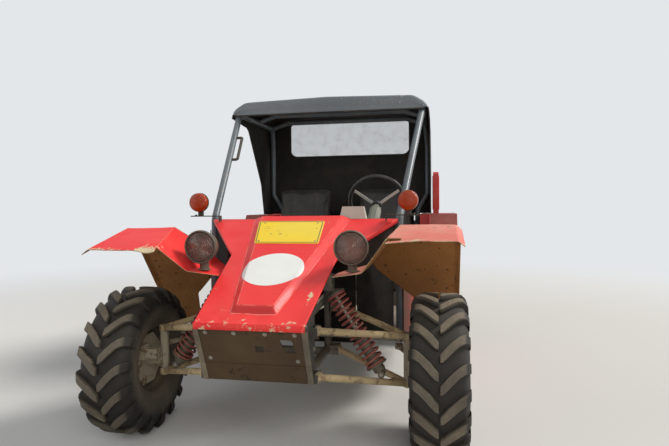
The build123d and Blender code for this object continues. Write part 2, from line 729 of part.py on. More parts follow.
stay_y = rail_back_y - 20
rear_cross_y = bed_back_y - 40
bed_rail_front = hoop_y + tube_radius + fit
rear_parts = []
for y in (wheelbase - 50, rear_cross_y):
    rear_parts.append(across(-bed_rail_x, bed_rail_x, y, bed_rail_z, cross_radius))
for side in (-1, 1):
    rear_parts.append(along(bed_rail_front, bed_back_y - 20, side * bed_rail_x, bed_rail_z, tube_radius))
    stay = [
        (side * rail_x, stay_y, floor_z), (side * rail_x, stay_y, floor_z + 70),
        (side * bed_rail_x, rear_cross_y, bed_rail_z),
    ]
    rear_parts.append(tube(stay, radius=strut_radius, bend=60))

hitch_half, hitch_thick, hitch_hole = 35, 16, 11
tongue = block(
    -hitch_half, hitch_half, rail_back_y + cross_radius + fit, overall_back_y,
    rail_z - hitch_thick / 2, rail_z + hitch_thick / 2,
)
tongue -= Pos(0, overall_back_y - 28, rail_z) * Cylinder(hitch_hole, 2 * hitch_thick)
save("rear_frame", rear_parts[0].fuse(*rear_parts[1:]), tongue)

tie_x, tie_radius, tie_front, tie_back = 420, 5.5, 100, 110
bed_line = [(bed_front_y, bed_z + sheet), (bed_back_y, bed_z + sheet), (bed_back_y, bed_z + 60)]
bed = side_view(band(bed_line, sheet), -bed_half, bed_half)
for x in (-tie_x, tie_x):
    for y in (bed_front_y + tie_front, bed_back_y - tie_back):
        bed -= Pos(x, y, bed_z) * Cylinder(tie_radius, 40)
save("cargo_floor", bed)

fender_back_y = bed_back_y - 30
rear_fender_line = [
    (hoop_y - 164, 600), (hoop_y - 138, 850), (hoop_y - 50, cargo_z), (fender_back_y - 120, cargo_z),
    (fender_back_y - 30, 930), (fender_back_y, 870), (fender_back_y, 640),
]
rear_fender = side_view(band(rear_fender_line, sheet), bed_half + sheet + 2 * fit, wheel_x + 130)
save("rear_fenders", *pair(rear_fender))

box_front_y, box_back_y, box_top_z = hoop_y + 75, bed_back_y - 80, 1284
box_outline = [
    (box_front_y, cargo_z + fit), (box_front_y, box_top_z - 14), (box_front_y + 15, box_top_z),
    (box_back_y - 20, box_top_z), (box_back_y, box_top_z - 24), (box_back_y, cargo_z + fit),
]
save("cargo_sides", *pair(side_view(polygon(*box_outline), 640, 682)))

save("tail_lamps", *pair(along(fender_back_y + fit, fender_back_y + 30, 700, 760, 42)))

# Seats: plain solids for the padding, on folded bases

seat_x, seat_half, seat_z, cushion_high = 300, 225, 480, 120
seat_back_y = hoop_y - 290
seat_front_y = seat_back_y - 440
base_line = [
    (seat_front_y + 20, floor_top + 1), (seat_front_y + 40, seat_z - fit),
    (seat_back_y - 20, seat_z - fit), (seat_back_y, floor_top + 1),
]
seat_base = side_view(band(base_line, sheet), seat_x - seat_half + 35, seat_x + seat_half - 35)
save("seat_bases", *pair(seat_base))
cushion = block(
    seat_x - seat_half, seat_x + seat_half, seat_front_y, seat_back_y - 10, seat_z, seat_z + cushion_high
)
cushion = chamfer(cushion.edges().filter_by(Axis.Z), 28)
back = chamfer(Box(2 * seat_half, 110, 640).edges().filter_by(Axis.Y), 36)
back = Pos(seat_x, seat_back_y + 100, 870) * Rot(-10, 0, 0) * back
save("seat_cushions", *pair(cushion))
save("seat_backs", *pair(back))

# Canopy: one sheet over the roof, down the rear corners and across the back, with a clear rear pane

cloth = 5
canopy_front, canopy_back = roof_front_y - 55, hoop_y + 30
canopy_low_z = 972
cloth_in = hoop_x + tube_radius + 1
cloth_out = cloth_in + cloth
canopy_line = [
    (cloth_out, canopy_low_z), (cloth_out, roof_z - 28), (614, roof_z + 20),
    (535, roof_z + 68), (0, roof_z + 84),
]
inner_line = [
    (cloth_in, canopy_low_z - 72), (cloth_in, roof_z - 28), (610, roof_z + 16),
    (533, roof_z + 62.6), (0, roof_z + 78.6),
]


def vault(line, y0, y1):
    return front_view(polygon(*line, *[(-x, z) for x, z in reversed(line[:-1])]), y0, y1)


door_outline = [
    (900, 900), (hoop_y - 150, 900), (hoop_y - 230, 1200), (hoop_y - 520, roof_z - 28), (900, roof_z - 28),
]
door = side_view(polygon(*door_outline), -900, 900)
screen = block(-900, 900, 900, canopy_front + 60, 800, roof_z - 16)
window_z, window_wide, window_high, window_corner = roof_z - 73, 930, 270, 30
window = Pos(0, window_z) * chamfer(Rectangle(window_wide, window_high).vertices(), window_corner)
inset = window_wide - 2 * fit, window_high - 2 * fit
pane = Pos(0, window_z) * chamfer(Rectangle(*inset).vertices(), window_corner)
shell = vault(canopy_line, canopy_front, canopy_back)
shell -= vault(inner_line, canopy_front + cloth, canopy_back - cloth)
save("canopy", shell - door - screen - front_view(window, canopy_back - 60, canopy_back + 60))
save("rear_window", front_view(pane, canopy_back - 3.5, canopy_back - 1.5))
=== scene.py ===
import math

import bmesh
import bpy
from mathutils import Matrix, Vector, noise


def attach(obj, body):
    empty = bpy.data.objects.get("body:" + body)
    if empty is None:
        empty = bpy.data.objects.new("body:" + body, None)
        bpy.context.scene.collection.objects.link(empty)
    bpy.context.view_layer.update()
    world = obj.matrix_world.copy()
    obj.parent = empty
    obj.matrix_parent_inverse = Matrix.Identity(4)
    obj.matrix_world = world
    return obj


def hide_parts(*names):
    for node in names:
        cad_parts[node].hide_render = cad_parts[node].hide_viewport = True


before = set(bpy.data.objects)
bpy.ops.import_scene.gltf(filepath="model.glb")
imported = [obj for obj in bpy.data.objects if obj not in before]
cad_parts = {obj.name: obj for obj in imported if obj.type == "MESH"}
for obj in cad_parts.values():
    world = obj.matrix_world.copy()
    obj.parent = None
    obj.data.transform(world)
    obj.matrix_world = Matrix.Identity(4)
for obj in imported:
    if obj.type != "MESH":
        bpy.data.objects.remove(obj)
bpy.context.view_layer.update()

# All lengths are metres. A place is given as (x, y behind the front axle, z), and at() moves it to the frame.
frontAxleY = -1.080
wheelbase = 2.050
wheelX = 0.685
axleZ = 0.330


def at(x, y, z):
    return Vector((x, y + frontAxleY, z))


leftward, rearward, upward = Vector((1, 0, 0)), Vector((0, 1, 0)), Vector((0, 0, 1))
mirrored = Matrix.Scale(-1, 4, leftward)


def wave(x, y, z):
    # smooth noise from -1 to 1
    return noise.noise(Vector((x, y, z)))


def linear(text):
    # a colour read from the photograph as hex, as the renderer's linear values
    parts = [int(text[i:i + 2], 16) / 255 for i in (1, 3, 5)]
    return tuple(c / 12.92 if c <= 0.04045 else ((c + 0.055) / 1.055) ** 2.4 for c in parts) + (1.0,)


def arithmetic(operation, reflected=False):
    # a method of Wire, which joins it to a number or another wire by a Math node
    def joined(self, other):
        first, second = (other, self) if reflected else (self, other)
        return self.graph.node("Math", {"operation": operation}, {0: first, 1: second})
    return joined


class Wire:
    # one output of a node, which can be summed and multiplied like a number
    __add__, __radd__ = arithmetic("ADD"), arithmetic("ADD", True)
    __sub__, __rsub__ = arithmetic("SUBTRACT"), arithmetic("SUBTRACT", True)
    __mul__, __pow__ = arithmetic("MULTIPLY"), arithmetic("POWER")
    atMost, atLeast = arithmetic("MINIMUM"), arithmetic("MAXIMUM")

    def __init__(self, graph, socket):
        self.graph = graph
        self.socket = socket

    def size(self):
        return self.graph.node("Math", {"operation": "ABSOLUTE"}, {0: self})

    def step(self, low, high):
        # 0 below low, 1 above high, smooth between; low may be the higher one
        if low > high:
            return 1 - self.step(high, low)
        kind = {"interpolation_type": "SMOOTHSTEP"}
        return self.graph.node("MapRange", kind, {"Value": self, "From Min": low, "From Max": high})


def highest(wires):
    first, *others = wires
    for wire in others:
        first = first.atLeast(wire)
    return first


class Graph:
    # the node tree of a material or of the world
    def __init__(self, owner):
        self.owner = owner
        owner.use_nodes = True
        self.tree = owner.node_tree
        self.tree.nodes.clear()

    def node(self, kind, settings=None, inputs=None, output=0):
        made = self.tree.nodes.new("ShaderNode" + kind)
        for key, value in (settings or {}).items():
            setattr(made, key, value)
        for key, value in (inputs or {}).items():
            if isinstance(value, Wire):
                self.tree.links.new(value.socket, made.inputs[key])
            else:
                made.inputs[key].default_value = value
        return Wire(self, made.outputs[output]) if len(made.outputs) else made

    def mix(self, factor, first, second):
        return self.node("Mix", {"data_type": "RGBA"}, {0: factor, 6: first, 7: second}, 2)

    def place(self):
        return self.node("TexCoord", output="Object")

    def noise(self, scale, detail, roughness, offset=0.0, where=None):
        inputs = {"Vector": where or self.place(), "Scale": scale, "Detail": detail, "Roughness": roughness}
        return self.node("TexNoise", {"noise_dimensions": "4D"}, {**inputs, "W": offset})

    def spots(self, scale):
        return self.node("TexVoronoi", None, {"Vector": self.place(), "Scale": scale})

    def axis(self, index, vector=None):
        return self.node("SeparateXYZ", None, {0: vector or self.place()}, index)

    def axes(self):
        return [self.axis(index) for index in range(3)]

    def height(self):
        return self.axis(2)

    def upward(self):
        return self.axis(2, self.node("NewGeometry", output="Normal"))

    def bumped(self, height, strength):
        return self.node("Bump", None, {"Height": height, "Strength": strength, "Distance": 0.002})

    def seen(self):
        # 1 for rays from the camera, from metal and through glass, 0 for the light that surfaces scatter
        kinds = ("Camera", "Glossy", "Transmission")
        return highest(self.node("LightPath", output=f"Is {kind} Ray") for kind in kinds)

    def finished(self, surface, output="OutputMaterial"):
        self.node(output, None, {"Surface": surface})
        return self.owner


usualLook = {
    "rough": 0.5, "specular": 0.5, "metal": 0.0, "coat": 0.0, "grain": 0.1, "bump": 0.25,
    "scratch": 0.0, "mark": "#c9bfae", "chip": 0.0, "chipScale": 34, "rust": "#6d4630", "primer": "#8f7f6c",
    "dust": 0.3, "low": 0.35, "settled": 0.2, "specks": 0.3, "clean": 0.0,
    "dustPale": "#c9b898", "dustDark": "#8d7a5e",
}


def weathered(name, look, zone=None):
    # paint, metal, rubber or plastic that has been outdoors: fading, scratches, chips and dust, by their amounts.
    # zone returns (where, colour, rougher) for what only part of the piece has, such as bare filler on an edge, and
    # for painted shade and highlight on part of it
    look = {**usualLook, "faded": look["base"], **look}
    graph = Graph(bpy.data.materials.new(name))
    broad = graph.noise(2.2, 5, 0.6)
    patchy = graph.noise(11, 8, 0.62, 2.0)
    fine = graph.noise(90, 6, 0.6, 5.0)
    grain = graph.noise(520, 3, 0.5, 7.0)
    colour = graph.mix(broad.step(0.35, 0.68), linear(look["base"]), linear(look["faded"]))
    rough = look["rough"] + (fine - 0.5) * 0.25
    bump = fine * 0.25 + grain * look["grain"]
    if look["scratch"]:
        lines = []
        for turn, offset in (((0.2, 0.1, 0.5), 1.0), ((0.1, 0.4, -0.7), 3.0), ((0.5, 0.2, 1.4), 9.0)):
            mapping = {"Vector": graph.place(), "Scale": (7, 260, 260), "Rotation": turn}
            stretched = graph.node("Mapping", None, mapping)
            lines.append(graph.noise(1.0, 2, 0.5, offset, stretched).step(0.70, 0.74))
        marks = highest(lines) * patchy.step(0.52, 0.64) * look["scratch"]
        colour = graph.mix(marks.atMost(1.0), colour, linear(look["mark"]))
        rough = rough + marks * 0.2
        bump = bump - marks * 0.4
    if look["chip"]:
        ragged = graph.noise(look["chipScale"], 7, 0.72, 13.0)
        region = graph.noise(5, 4, 0.6, 11.0)
        level = 0.93 - 0.08 * look["chip"]
        chips = (ragged + region * 0.5).step(level, level + 0.02)
        under = graph.mix(grain.step(0.4, 0.6), linear(look["rust"]), linear(look["primer"]))
        colour = graph.mix(chips, colour, under)
        rough = rough + chips * 0.3
        bump = bump - chips * 1.2
    if zone:
        where, zoneColour, rougher = zone(graph, patchy, fine, grain)
        colour = graph.mix(where, colour, zoneColour)
        rough = rough + where * rougher
        bump = bump - where * 0.6
    low = graph.height().step(1.3, 0.15) * look["low"]
    settled = graph.upward().step(0.1, 0.95) * look["settled"]
    film = (patchy.step(0.36, 0.72) * 0.55 + broad.step(0.3, 0.7) * 0.3 + low + settled) * look["dust"]
    specks = graph.spots(120).step(0.22, 0.05) * patchy.step(0.42, 0.6) * look["specks"]
    dust = film.atLeast(specks * look["dust"] * 1.6).atMost(0.96)
    if look["clean"]:
        dust = dust * (1 - where * look["clean"])
    colour = graph.mix(dust, colour, graph.mix(fine, linear(look["dustDark"]), linear(look["dustPale"])))
    inputs = {
        "Base Color": colour,
        "Roughness": (rough * (1 - dust) + dust * 0.92).atMost(0.98),
        "Specular IOR Level": look["specular"],
        "Normal": graph.bumped(bump + dust * grain * 0.8, look["bump"]),
    }
    if look["metal"]:
        inputs["Metallic"] = (1 - dust) * look["metal"]
    if look["coat"]:
        inputs["Coat Weight"] = (1 - dust) * look["coat"]
        inputs["Coat Roughness"] = 0.12
    return graph.finished(graph.node("BsdfPrincipled", None, inputs))


def glassy(name, look):
    # lamp glass or clear plastic with a film of dust, pressed with rings or ribs; ringed glass is also tinted brown
    # towards its rim as painted reflection
    graph = Graph(bpy.data.materials.new(name))
    patchy = graph.noise(14, 6, 0.6)
    film = (patchy.step(0.4, 0.8) * 0.5 + graph.height().step(1.2, 0.3) * 0.2) * look["dust"]
    colour = graph.mix(film, linear(look["base"]), linear(usualLook["dustPale"]))
    inputs = {"IOR": 1.47, "Transmission Weight": look["clear"], "Specular IOR Level": look["specular"]}
    if "rings" in look:
        x, z, pitch, outer = look["rings"]
        reach = ((graph.axis(0).size() - x) ** 2 + (graph.height() - z) ** 2) ** 0.5
        # painted reflection: browner towards the rim and paler at the middle, as the reflector's lit centre shows
        # through the glass; the blotches are random brown
        brownAndReflection = (reach.step(0.02, outer) * 0.4 + patchy.step(0.45, 0.65) * 0.3).atMost(0.9)
        colour = graph.mix(brownAndReflection, colour, linear("#6b4738"))
        film = film + reach.step(outer - 0.012, outer) * 0.35
        pressed = graph.node("Math", {"operation": "SINE"}, {0: reach * (math.tau / pitch)})
        inputs["Normal"] = graph.bumped(pressed, 0.5)
    if "ribs" in look:
        bands = {"Vector": graph.place(), "Scale": look["ribs"]}
        inputs["Normal"] = graph.bumped(graph.node("TexWave", {"bands_direction": "Z"}, bands), 0.3)
    if "alpha" in look:
        inputs["Alpha"] = (look["alpha"] + film * 0.6).atMost(1.0)
    inputs["Base Color"] = colour
    inputs["Roughness"] = look["rough"] + film * 0.7
    return graph.finished(graph.node("BsdfPrincipled", None, inputs))


def bareFiller(graph, grain):
    return graph.mix(grain.step(0.35, 0.65) * 0.6, linear("#e6d3ae"), linear("#a98a62"))


def hoodWearAndPaintedLight(graph, patchy, fine, grain):
    # cream filler shows along the nose's lip and up the driver's edge, and an arc is scored under the oval
    x, y, z = graph.axes()
    ragged = graph.noise(30, 8, 0.75, 21.0)
    lip = z.step(0.636, 0.598)
    edge = (x - 0.196).size().step(0.030, 0.004) * (y + 1.335).size().step(0.075, 0.03)
    filler = (ragged + lip * (0.08 + patchy * 0.16) + edge * 0.20).step(0.715, 0.735)
    # the raised middle's foot and top edges get a paler line: rubbed paint, and a painted highlight along the folds
    lines = []
    for half, start, spread in ((0.090, 1.437, 0.212), (0.072, 1.414, 0.186)):
        back = y + start
        side = (x.size() - half - back * spread).size().step(0.0026, 0.0008) * back.step(0, 0.01)
        end = back.size().step(0.0026, 0.0008) * x.size().step(half, half - 0.005)
        lines += [side, end]
    wornAndHighlit = highest(lines) * graph.noise(13, 5, 0.6, 33.0).step(0.36, 0.56) * 0.55
    reach = ((x + 0.01) ** 2 + (y + 1.105) ** 2) ** 0.5
    arc = (reach - 0.168 - (patchy - 0.5) * 0.012).size().step(0.0022, 0.0008) * y.step(-1.19, -1.24)
    scored = arc * graph.noise(24, 4, 0.6, 31.0).step(0.38, 0.5) * 0.8
    # painted shade: the slope at the nose end of the raised middle is darkened to a deep red
    endShade = (y + 1.438).step(0, 0.003) * (y + 1.413).step(0.003, 0) * x.size().step(0.094, 0.080) * 0.5
    marked = graph.mix(filler, linear("#f3a596"), bareFiller(graph, grain))
    # painted shade: the deep red where the end slope lies; the pale pink is for the scored arc and the paler edge
    # lines
    colour = graph.mix((endShade - wornAndHighlit - filler).step(0, 0.2), marked, linear("#8c1519"))
    return highest([filler, scored, wornAndHighlit, endShade]), colour, 0.25


def fenderWear(graph, patchy, fine, grain):
    # the same filler along the fenders' front lips
    y = graph.axis(1)
    ragged = graph.noise(26, 8, 0.75, 22.0)
    torn = (graph.axis(0) + 0.480).size().step(0.075, 0.03) * y.step(-1.22, -1.31)
    filler = (ragged + y.step(-1.29, -1.345) * 0.19 + torn * 0.21).step(0.70, 0.72)
    return filler, bareFiller(graph, grain), 0.25


def mudSpots(graph, patchy, fine, grain):
    # dark splashes and rust on the dried mud under a fender
    outward = graph.axis(0).size().step(0.55, 0.75) * 0.12
    spots = graph.spots(26).step(0.20, 0.13) * (graph.noise(6, 4, 0.6, 41.0) + outward).step(0.44, 0.53)
    small = graph.spots(66).step(0.20, 0.12) * (graph.noise(8, 4, 0.6, 42.0) + outward).step(0.40, 0.51)
    return spots.atLeast(small) * 0.85, linear("#2b1a0e"), 0.05


def grooveShade(graph, patchy, fine, grain):
    # painted shade: the rubber between the lugs and round the bead is painted near black and kept clear of dust; the
    # lugs' tops and shoulders are dusty
    across = ((graph.axis(1) + 0.055).size() - 1.025) ** 2
    radius = (across + (graph.height() - 0.330) ** 2) ** 0.5
    floor = radius.step(0.325, 0.309) * radius.step(0.205, 0.262)
    return floor * (0.72 + patchy * 0.4).atMost(1.0), linear("#0c0a09"), 0.05


def panelShade(graph, patchy, fine, grain):
    # painted shade: the side panels' front ends, behind the front wheels, are darkened to a near black brown
    frontShade = graph.axis(1).step(-0.45, -0.64) * (0.55 + patchy * 0.9)
    colour = graph.mix(fine, linear("#21170f"), linear("#3c2c1c"))
    return (frontShade - 0.1).atMost(0.92).atLeast(0.0), colour, 0.3


def roofScuffs(graph, patchy, fine, grain):
    # a spot rubbed pale at the driver's front corner, and paler specks along the front edge
    x, y, z = graph.axes()
    spot = (((x - 0.470) ** 2 + (y + 0.015) ** 2) ** 0.5).step(0.055, 0.015) * z.step(1.62, 1.64)
    rubbed = (graph.noise(34, 7, 0.7, 51.0) + spot * 0.22).step(0.68, 0.73)
    front = y.step(0.20, 0.0) * z.step(1.63, 1.66) * graph.noise(9, 4, 0.6, 52.0).step(0.42, 0.55)
    specks = graph.spots(60).step(0.24, 0.12) * front * 0.5
    return (rubbed * spot.step(0, 0.2)).atLeast(specks) * 0.85, linear("#c3c6bd"), 0.05


def cheekDark(graph, patchy, fine, grain):
    # the nose's side plates are bare dark steel, its front plate is under dried mud
    outside = graph.axis(0).size().step(0.1985, 0.1990)
    return outside, graph.mix(fine, linear("#2c2c2b"), linear("#4b4843")), -0.15


looks = {
    "red": {
        "base": "#ea2229", "faded": "#f13835", "rough": 0.45, "specular": 0.35, "coat": 0.10, "dust": 0.06,
        "scratch": 0.8, "chip": 0.3, "mark": "#f6b4a4", "low": 0.2, "settled": 0.2, "bump": 0.16,
        "primer": "#d9c3a0", "specks": 0.6,
    },
    "chalkyRed": {
        "base": "#d9524c", "faded": "#e88778", "rough": 0.62, "coat": 0.05, "scratch": 0.9, "chip": 0.5,
        "mark": "#f3cfc2", "low": 0.3, "settled": 0.5, "bump": 0.22,
    },
    "boxRed": {
        "base": "#bb1f23", "faded": "#c8322f", "specular": 0.35, "coat": 0.08, "dust": 0.16, "scratch": 0.8,
        "chip": 0.5,
    },
    # painted shade: a darker copy of the body red, for the rear fenders and the hood's underside, which lie in shade
    "shadedRed": {"base": "#7d1a20", "faded": "#8e2628", "dust": 0.25, "scratch": 0.5, "chip": 0.5},
    "springRed": {
        "base": "#7a1f26", "faded": "#8f3030", "rough": 0.45, "dust": 0.25, "chip": 0.8, "low": 0.2,
    },
    "black": {"base": "#17171a", "faded": "#232326", "dust": 0.35, "scratch": 0.6, "chip": 0.4},
    "cage": {
        "base": "#47525a", "faded": "#5d6a72", "rough": 0.42, "coat": 0.1, "dust": 0.16, "bump": 0.07,
        "scratch": 0.8, "chip": 0.4, "mark": "#b9bec4",
    },
    "tan": {
        "base": "#a08862", "faded": "#b8a07a", "rough": 0.8, "dust": 0.6, "scratch": 0.5, "chip": 1.6,
        "rust": "#4e3020", "primer": "#3a2a1e", "dustPale": "#d8c69e", "dustDark": "#9a7f58", "bump": 0.45,
        "chipScale": 22,
    },
    "noseMud": {
        "base": "#382611", "faded": "#463218", "rough": 0.8, "dust": 0.22, "scratch": 0.9, "chip": 1.0,
        "rust": "#2b1b0c", "primer": "#241a10", "dustPale": "#7d6440", "dustDark": "#453320",
        "mark": "#8d7a58", "bump": 0.4,
    },
    "mud": {
        "base": "#8f5a2b", "faded": "#a66f37", "rough": 0.85, "dust": 0.4, "chip": 0.6, "rust": "#3f2510",
        "primer": "#33200e", "dustPale": "#a27840", "dustDark": "#6b4622", "grain": 0.5, "bump": 0.5,
        "low": 0.1,
    },
    "steel": {
        "base": "#7d7a74", "faded": "#908b82", "metal": 0.8, "rough": 0.45, "dust": 0.4, "scratch": 0.6,
    },
    "spoke": {
        "base": "#b9b7ae", "faded": "#a5a399", "metal": 0.3, "rough": 0.35, "dust": 0.15, "grain": 0.02,
    },
    # painted reflection: the reflector is brownish pink for the reddish surroundings it reflects, not bare silver
    "mirror": {
        "base": "#a8806c", "metal": 1.0, "rough": 0.12, "dust": 0.35, "grain": 0.02, "dustPale": "#a48474",
    },
    "pale": {
        "base": "#8d8474", "faded": "#a39a88", "rough": 0.65, "dust": 0.45, "chip": 1.7, "rust": "#5a3018",
        "primer": "#3a2113", "chipScale": 26, "scratch": 0.6,
    },
    # painted shade: the bulkheads are black, darkened further to near black for the shadow in the footwell and under
    # the hood
    "shade": {
        "base": "#0a0a0b", "faded": "#100f0e", "rough": 0.85, "dust": 0.05, "scratch": 0.2, "specular": 0.15,
    },
    "cast": {
        "base": "#3b3733", "faded": "#4c443c", "metal": 0.3, "rough": 0.7, "dust": 0.5, "chip": 0.6,
        "grain": 0.5,
    },
    "alloy": {"base": "#8f8d88", "faded": "#a5a29b", "metal": 0.6, "dust": 0.5, "scratch": 1.0},
    "rim": {
        "base": "#4a443c", "faded": "#5b5347", "metal": 0.3, "rough": 0.6, "dust": 0.5, "scratch": 0.6,
        "chip": 0.8, "dustPale": "#8c7a5e", "dustDark": "#51432f",
    },
    "tyre": {
        "base": "#2c2925", "faded": "#4a443e", "rough": 0.72, "dust": 0.36, "grain": 0.5, "settled": 0.6,
        "dustPale": "#b3a183", "dustDark": "#5d4f3d", "bump": 0.5, "specks": 0.8, "clean": 0.9,
    },
    "rubber": {"base": "#141414", "faded": "#1e1d1c", "rough": 0.75, "dust": 0.2, "grain": 0.3},
    "grip": {"base": "#0c0c0c", "faded": "#161514", "dust": 0.06, "grain": 0.2, "bump": 0.08},
    "plastic": {
        "base": "#151516", "faded": "#202022", "rough": 0.55, "dust": 0.25, "scratch": 0.4, "grain": 0.3,
    },
    "podPlastic": {"base": "#b9b4a8", "faded": "#c9c4b8", "rough": 0.6, "grain": 0.2},
    "shroud": {"base": "#74796f", "faded": "#868a7e", "rough": 0.6, "grain": 0.2},
    "vinyl": {
        "base": "#666d72", "faded": "#767d82", "rough": 0.55, "dust": 0.22, "scratch": 0.7,
        "mark": "#a9aeb0", "settled": 0.4, "low": 0.0, "grain": 0.6, "bump": 0.4, "dustPale": "#a8a294",
        "dustDark": "#6f6b62",
    },
    "vinylBack": {
        "base": "#0d0b0a", "faded": "#15120f", "rough": 0.85, "dust": 0.06, "low": 0.0, "grain": 0.6,
        "bump": 0.35,
    },
    "seat": {
        "base": "#0b0b0c", "faded": "#131314", "rough": 0.6, "dust": 0.08, "grain": 0.9, "settled": 0.3,
        "bump": 0.4, "scratch": 0.4, "mark": "#4a4742",
    },
    "redLens": {"base": "#8c0f12", "rough": 0.25, "coat": 0.6, "dust": 0.25},
    "yellow": {
        "base": "#f8d42c", "faded": "#f4d84c", "rough": 0.55, "specular": 0.3, "dust": 0.12, "scratch": 0.5,
        "chip": 0.1,
    },
    "white": {
        "base": "#eff0ec", "faded": "#e5e4dc", "rough": 0.55, "specular": 0.3, "dust": 0.10, "scratch": 0.7,
        "mark": "#b9ab98",
    },
}
looks["fenderRed"] = {
    **looks["red"], "scratch": 1.0, "chip": 0.5, "dust": 0.04, "settled": 0.05, "specular": 0.2, "coat": 0.0,
}
zones = {
    "red": hoodWearAndPaintedLight, "chalkyRed": fenderWear, "fenderRed": fenderWear, "mud": mudSpots, "tyre": grooveShade,
    "noseMud": cheekDark, "vinyl": roofScuffs, "boxRed": panelShade,
}
glasses = {
    "lampGlass": {
        # the rings' centre in x and z, their pitch, and the radius of the outermost
        "rings": (0.330, 0.854, 0.0085, 0.0655),
        # the pinkish base is painted reflection of the red hood in the glass
        "base": "#e2b8a2", "dust": 0.22, "clear": 0.9, "rough": 0.05, "specular": 0.5,
    },
    "amber": {"base": "#b84002", "dust": 0.08, "clear": 0.35, "rough": 0.22, "specular": 0.3, "ribs": 90},
    "pane": {"base": "#9aa0a4", "dust": 0.4, "clear": 0.2, "rough": 0.2, "specular": 0.5, "alpha": 0.25},
}
paint = {name: weathered(name, look, zones.get(name)) for name, look in looks.items()}
paint |= {name: glassy(name, look) for name, look in glasses.items()}
print("materials made")


class Shape:
    # points and faces gathered before they become one mesh
    def __init__(self):
        self.points = []
        self.faces = []
        self.marks = []

    def add(self, points, faces, mark=0):
        start = len(self.points)
        self.points += [Vector(p) for p in points]
        self.faces += [[start + i for i in face] for face in faces]
        self.marks += [mark] * len(faces)
        return self

    def rows(self, rows, around=False, along=False, caps=False, mark=0, skip=None):
        # joins rows of points by quads; around closes each row, along joins the last row to the first
        wide, count = len(rows[0]), len(rows)
        faces = []
        for i in range(count if along else count - 1):
            for j in range(wide if around else wide - 1):
                if skip and skip(i, j):
                    continue
                below, beside = (i + 1) % count, (j + 1) % wide
                faces.append([i * wide + j, i * wide + beside, below * wide + beside, below * wide + j])
        if caps:
            faces.append(list(range(wide))[::-1])
            faces.append([(count - 1) * wide + j for j in range(wide)])
        return self.add([p for row in rows for p in row], faces, mark)

    def moved(self, matrix):
        flips = matrix.determinant() < 0
        result = Shape()
        result.points = [matrix @ p for p in self.points]
        result.faces = [face[::-1] if flips else list(face) for face in self.faces]
        result.marks = list(self.marks)
        return result

    def take(self, other, mark=None):
        start = len(self.points)
        self.points += other.points
        self.faces += [[start + i for i in face] for face in other.faces]
        self.marks += other.marks if mark is None else [mark] * len(other.faces)
        return self

    def both(self):
        # the shape and its mirror image across the vehicle's middle
        return self.take(self.moved(mirrored))


def meshOf(name, shape, weld=0.0):
    mesh = bpy.data.meshes.new(name)
    mesh.from_pydata([tuple(p) for p in shape.points], [], shape.faces)
    mesh.polygons.foreach_set("material_index", shape.marks)
    if weld:
        gathered = bmesh.new()
        gathered.from_mesh(mesh)
        bmesh.ops.remove_doubles(gathered, verts=gathered.verts, dist=weld)
        gathered.to_mesh(mesh)
        gathered.free()
    mesh.update()
    return mesh


def softened(made, width, smooth):
    # rounds the sharp edges over a width, and shades smoothly up to an angle in degrees
    if width:
        rounding = made.modifiers.new("Bevel", "BEVEL")
        rounding.width = width
        rounding.segments = 2
        rounding.limit_method = "ANGLE"
        rounding.angle_limit = math.radians(40)
    made.data.shade_smooth()
    made.data.set_sharp_from_angle(angle=math.radians(smooth))


def piece(name, shape, materials, body, replaces=(), bevel=0.0, smooth=35, solid=0.0, subdivide=0,
          layers=(0, 0), weld=0.0):
    # layers gives how many materials further on the back and the rim of a solidified sheet are
    made = bpy.data.objects.new(name, meshOf(name, shape, weld))
    bpy.context.scene.collection.objects.link(made)
    for material in materials:
        made.data.materials.append(paint[material])
    if subdivide:
        finer = made.modifiers.new("Subdivision", "SUBSURF")
        finer.levels = finer.render_levels = subdivide
    if solid:
        thick = made.modifiers.new("Solidify", "SOLIDIFY")
        thick.thickness = solid
        thick.material_offset, thick.material_offset_rim = layers
    softened(made, bevel, smooth)
    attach(made, body)
    if replaces:
        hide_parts(*replaces)
    return made


def circle(count):
    # the sine and cosine of even turns
    return [(math.sin(math.tau * i / count), math.cos(math.tau * i / count)) for i in range(count)]


def ringRows(profile, segments):
    # profile is (distance along X, radius); the rows run round the X axis
    return [[Vector((x, r * s, r * c)) for x, r in profile] for s, c in circle(segments)]


def turned(profile, segments=48, mark=0, closed=True):
    # closed joins the profile's end to its start; otherwise its ends lie on the axis
    return Shape().rows(ringRows(profile, segments), around=closed, along=True, mark=mark)


def aimed(start, direction):
    # carries the X axis to a direction and the origin to a point
    turn = leftward.rotation_difference(direction.normalized())
    return Matrix.Translation(start) @ turn.to_matrix().to_4x4()


def rod(start, end, radius, segments=20, chamfer=0.0015):
    span = (end - start).length
    edge = min(chamfer, radius / 3)
    small = radius - edge
    profile = [(0, 0), (0, small), (edge, radius), (span - edge, radius), (span, small), (span, 0)]
    return turned(profile, segments, closed=False).moved(aimed(start, end - start))


def filleted(points, bend, steps=6):
    # the points of a line whose corners are taken by arcs
    line = [points[0]]
    for a, b, c in zip(points, points[1:], points[2:]):
        inward, outward = (b - a).normalized(), (c - b).normalized()
        turn = inward.angle(outward)
        reach = min(bend * math.tan(turn / 2), 0.45 * (b - a).length, 0.45 * (c - b).length)
        first, last = b - inward * reach, b + outward * reach
        for i in range(steps + 1):
            t = i / steps
            line.append(first * (1 - t) ** 2 + b * 2 * t * (1 - t) + last * t ** 2)
    return line + [points[-1]]


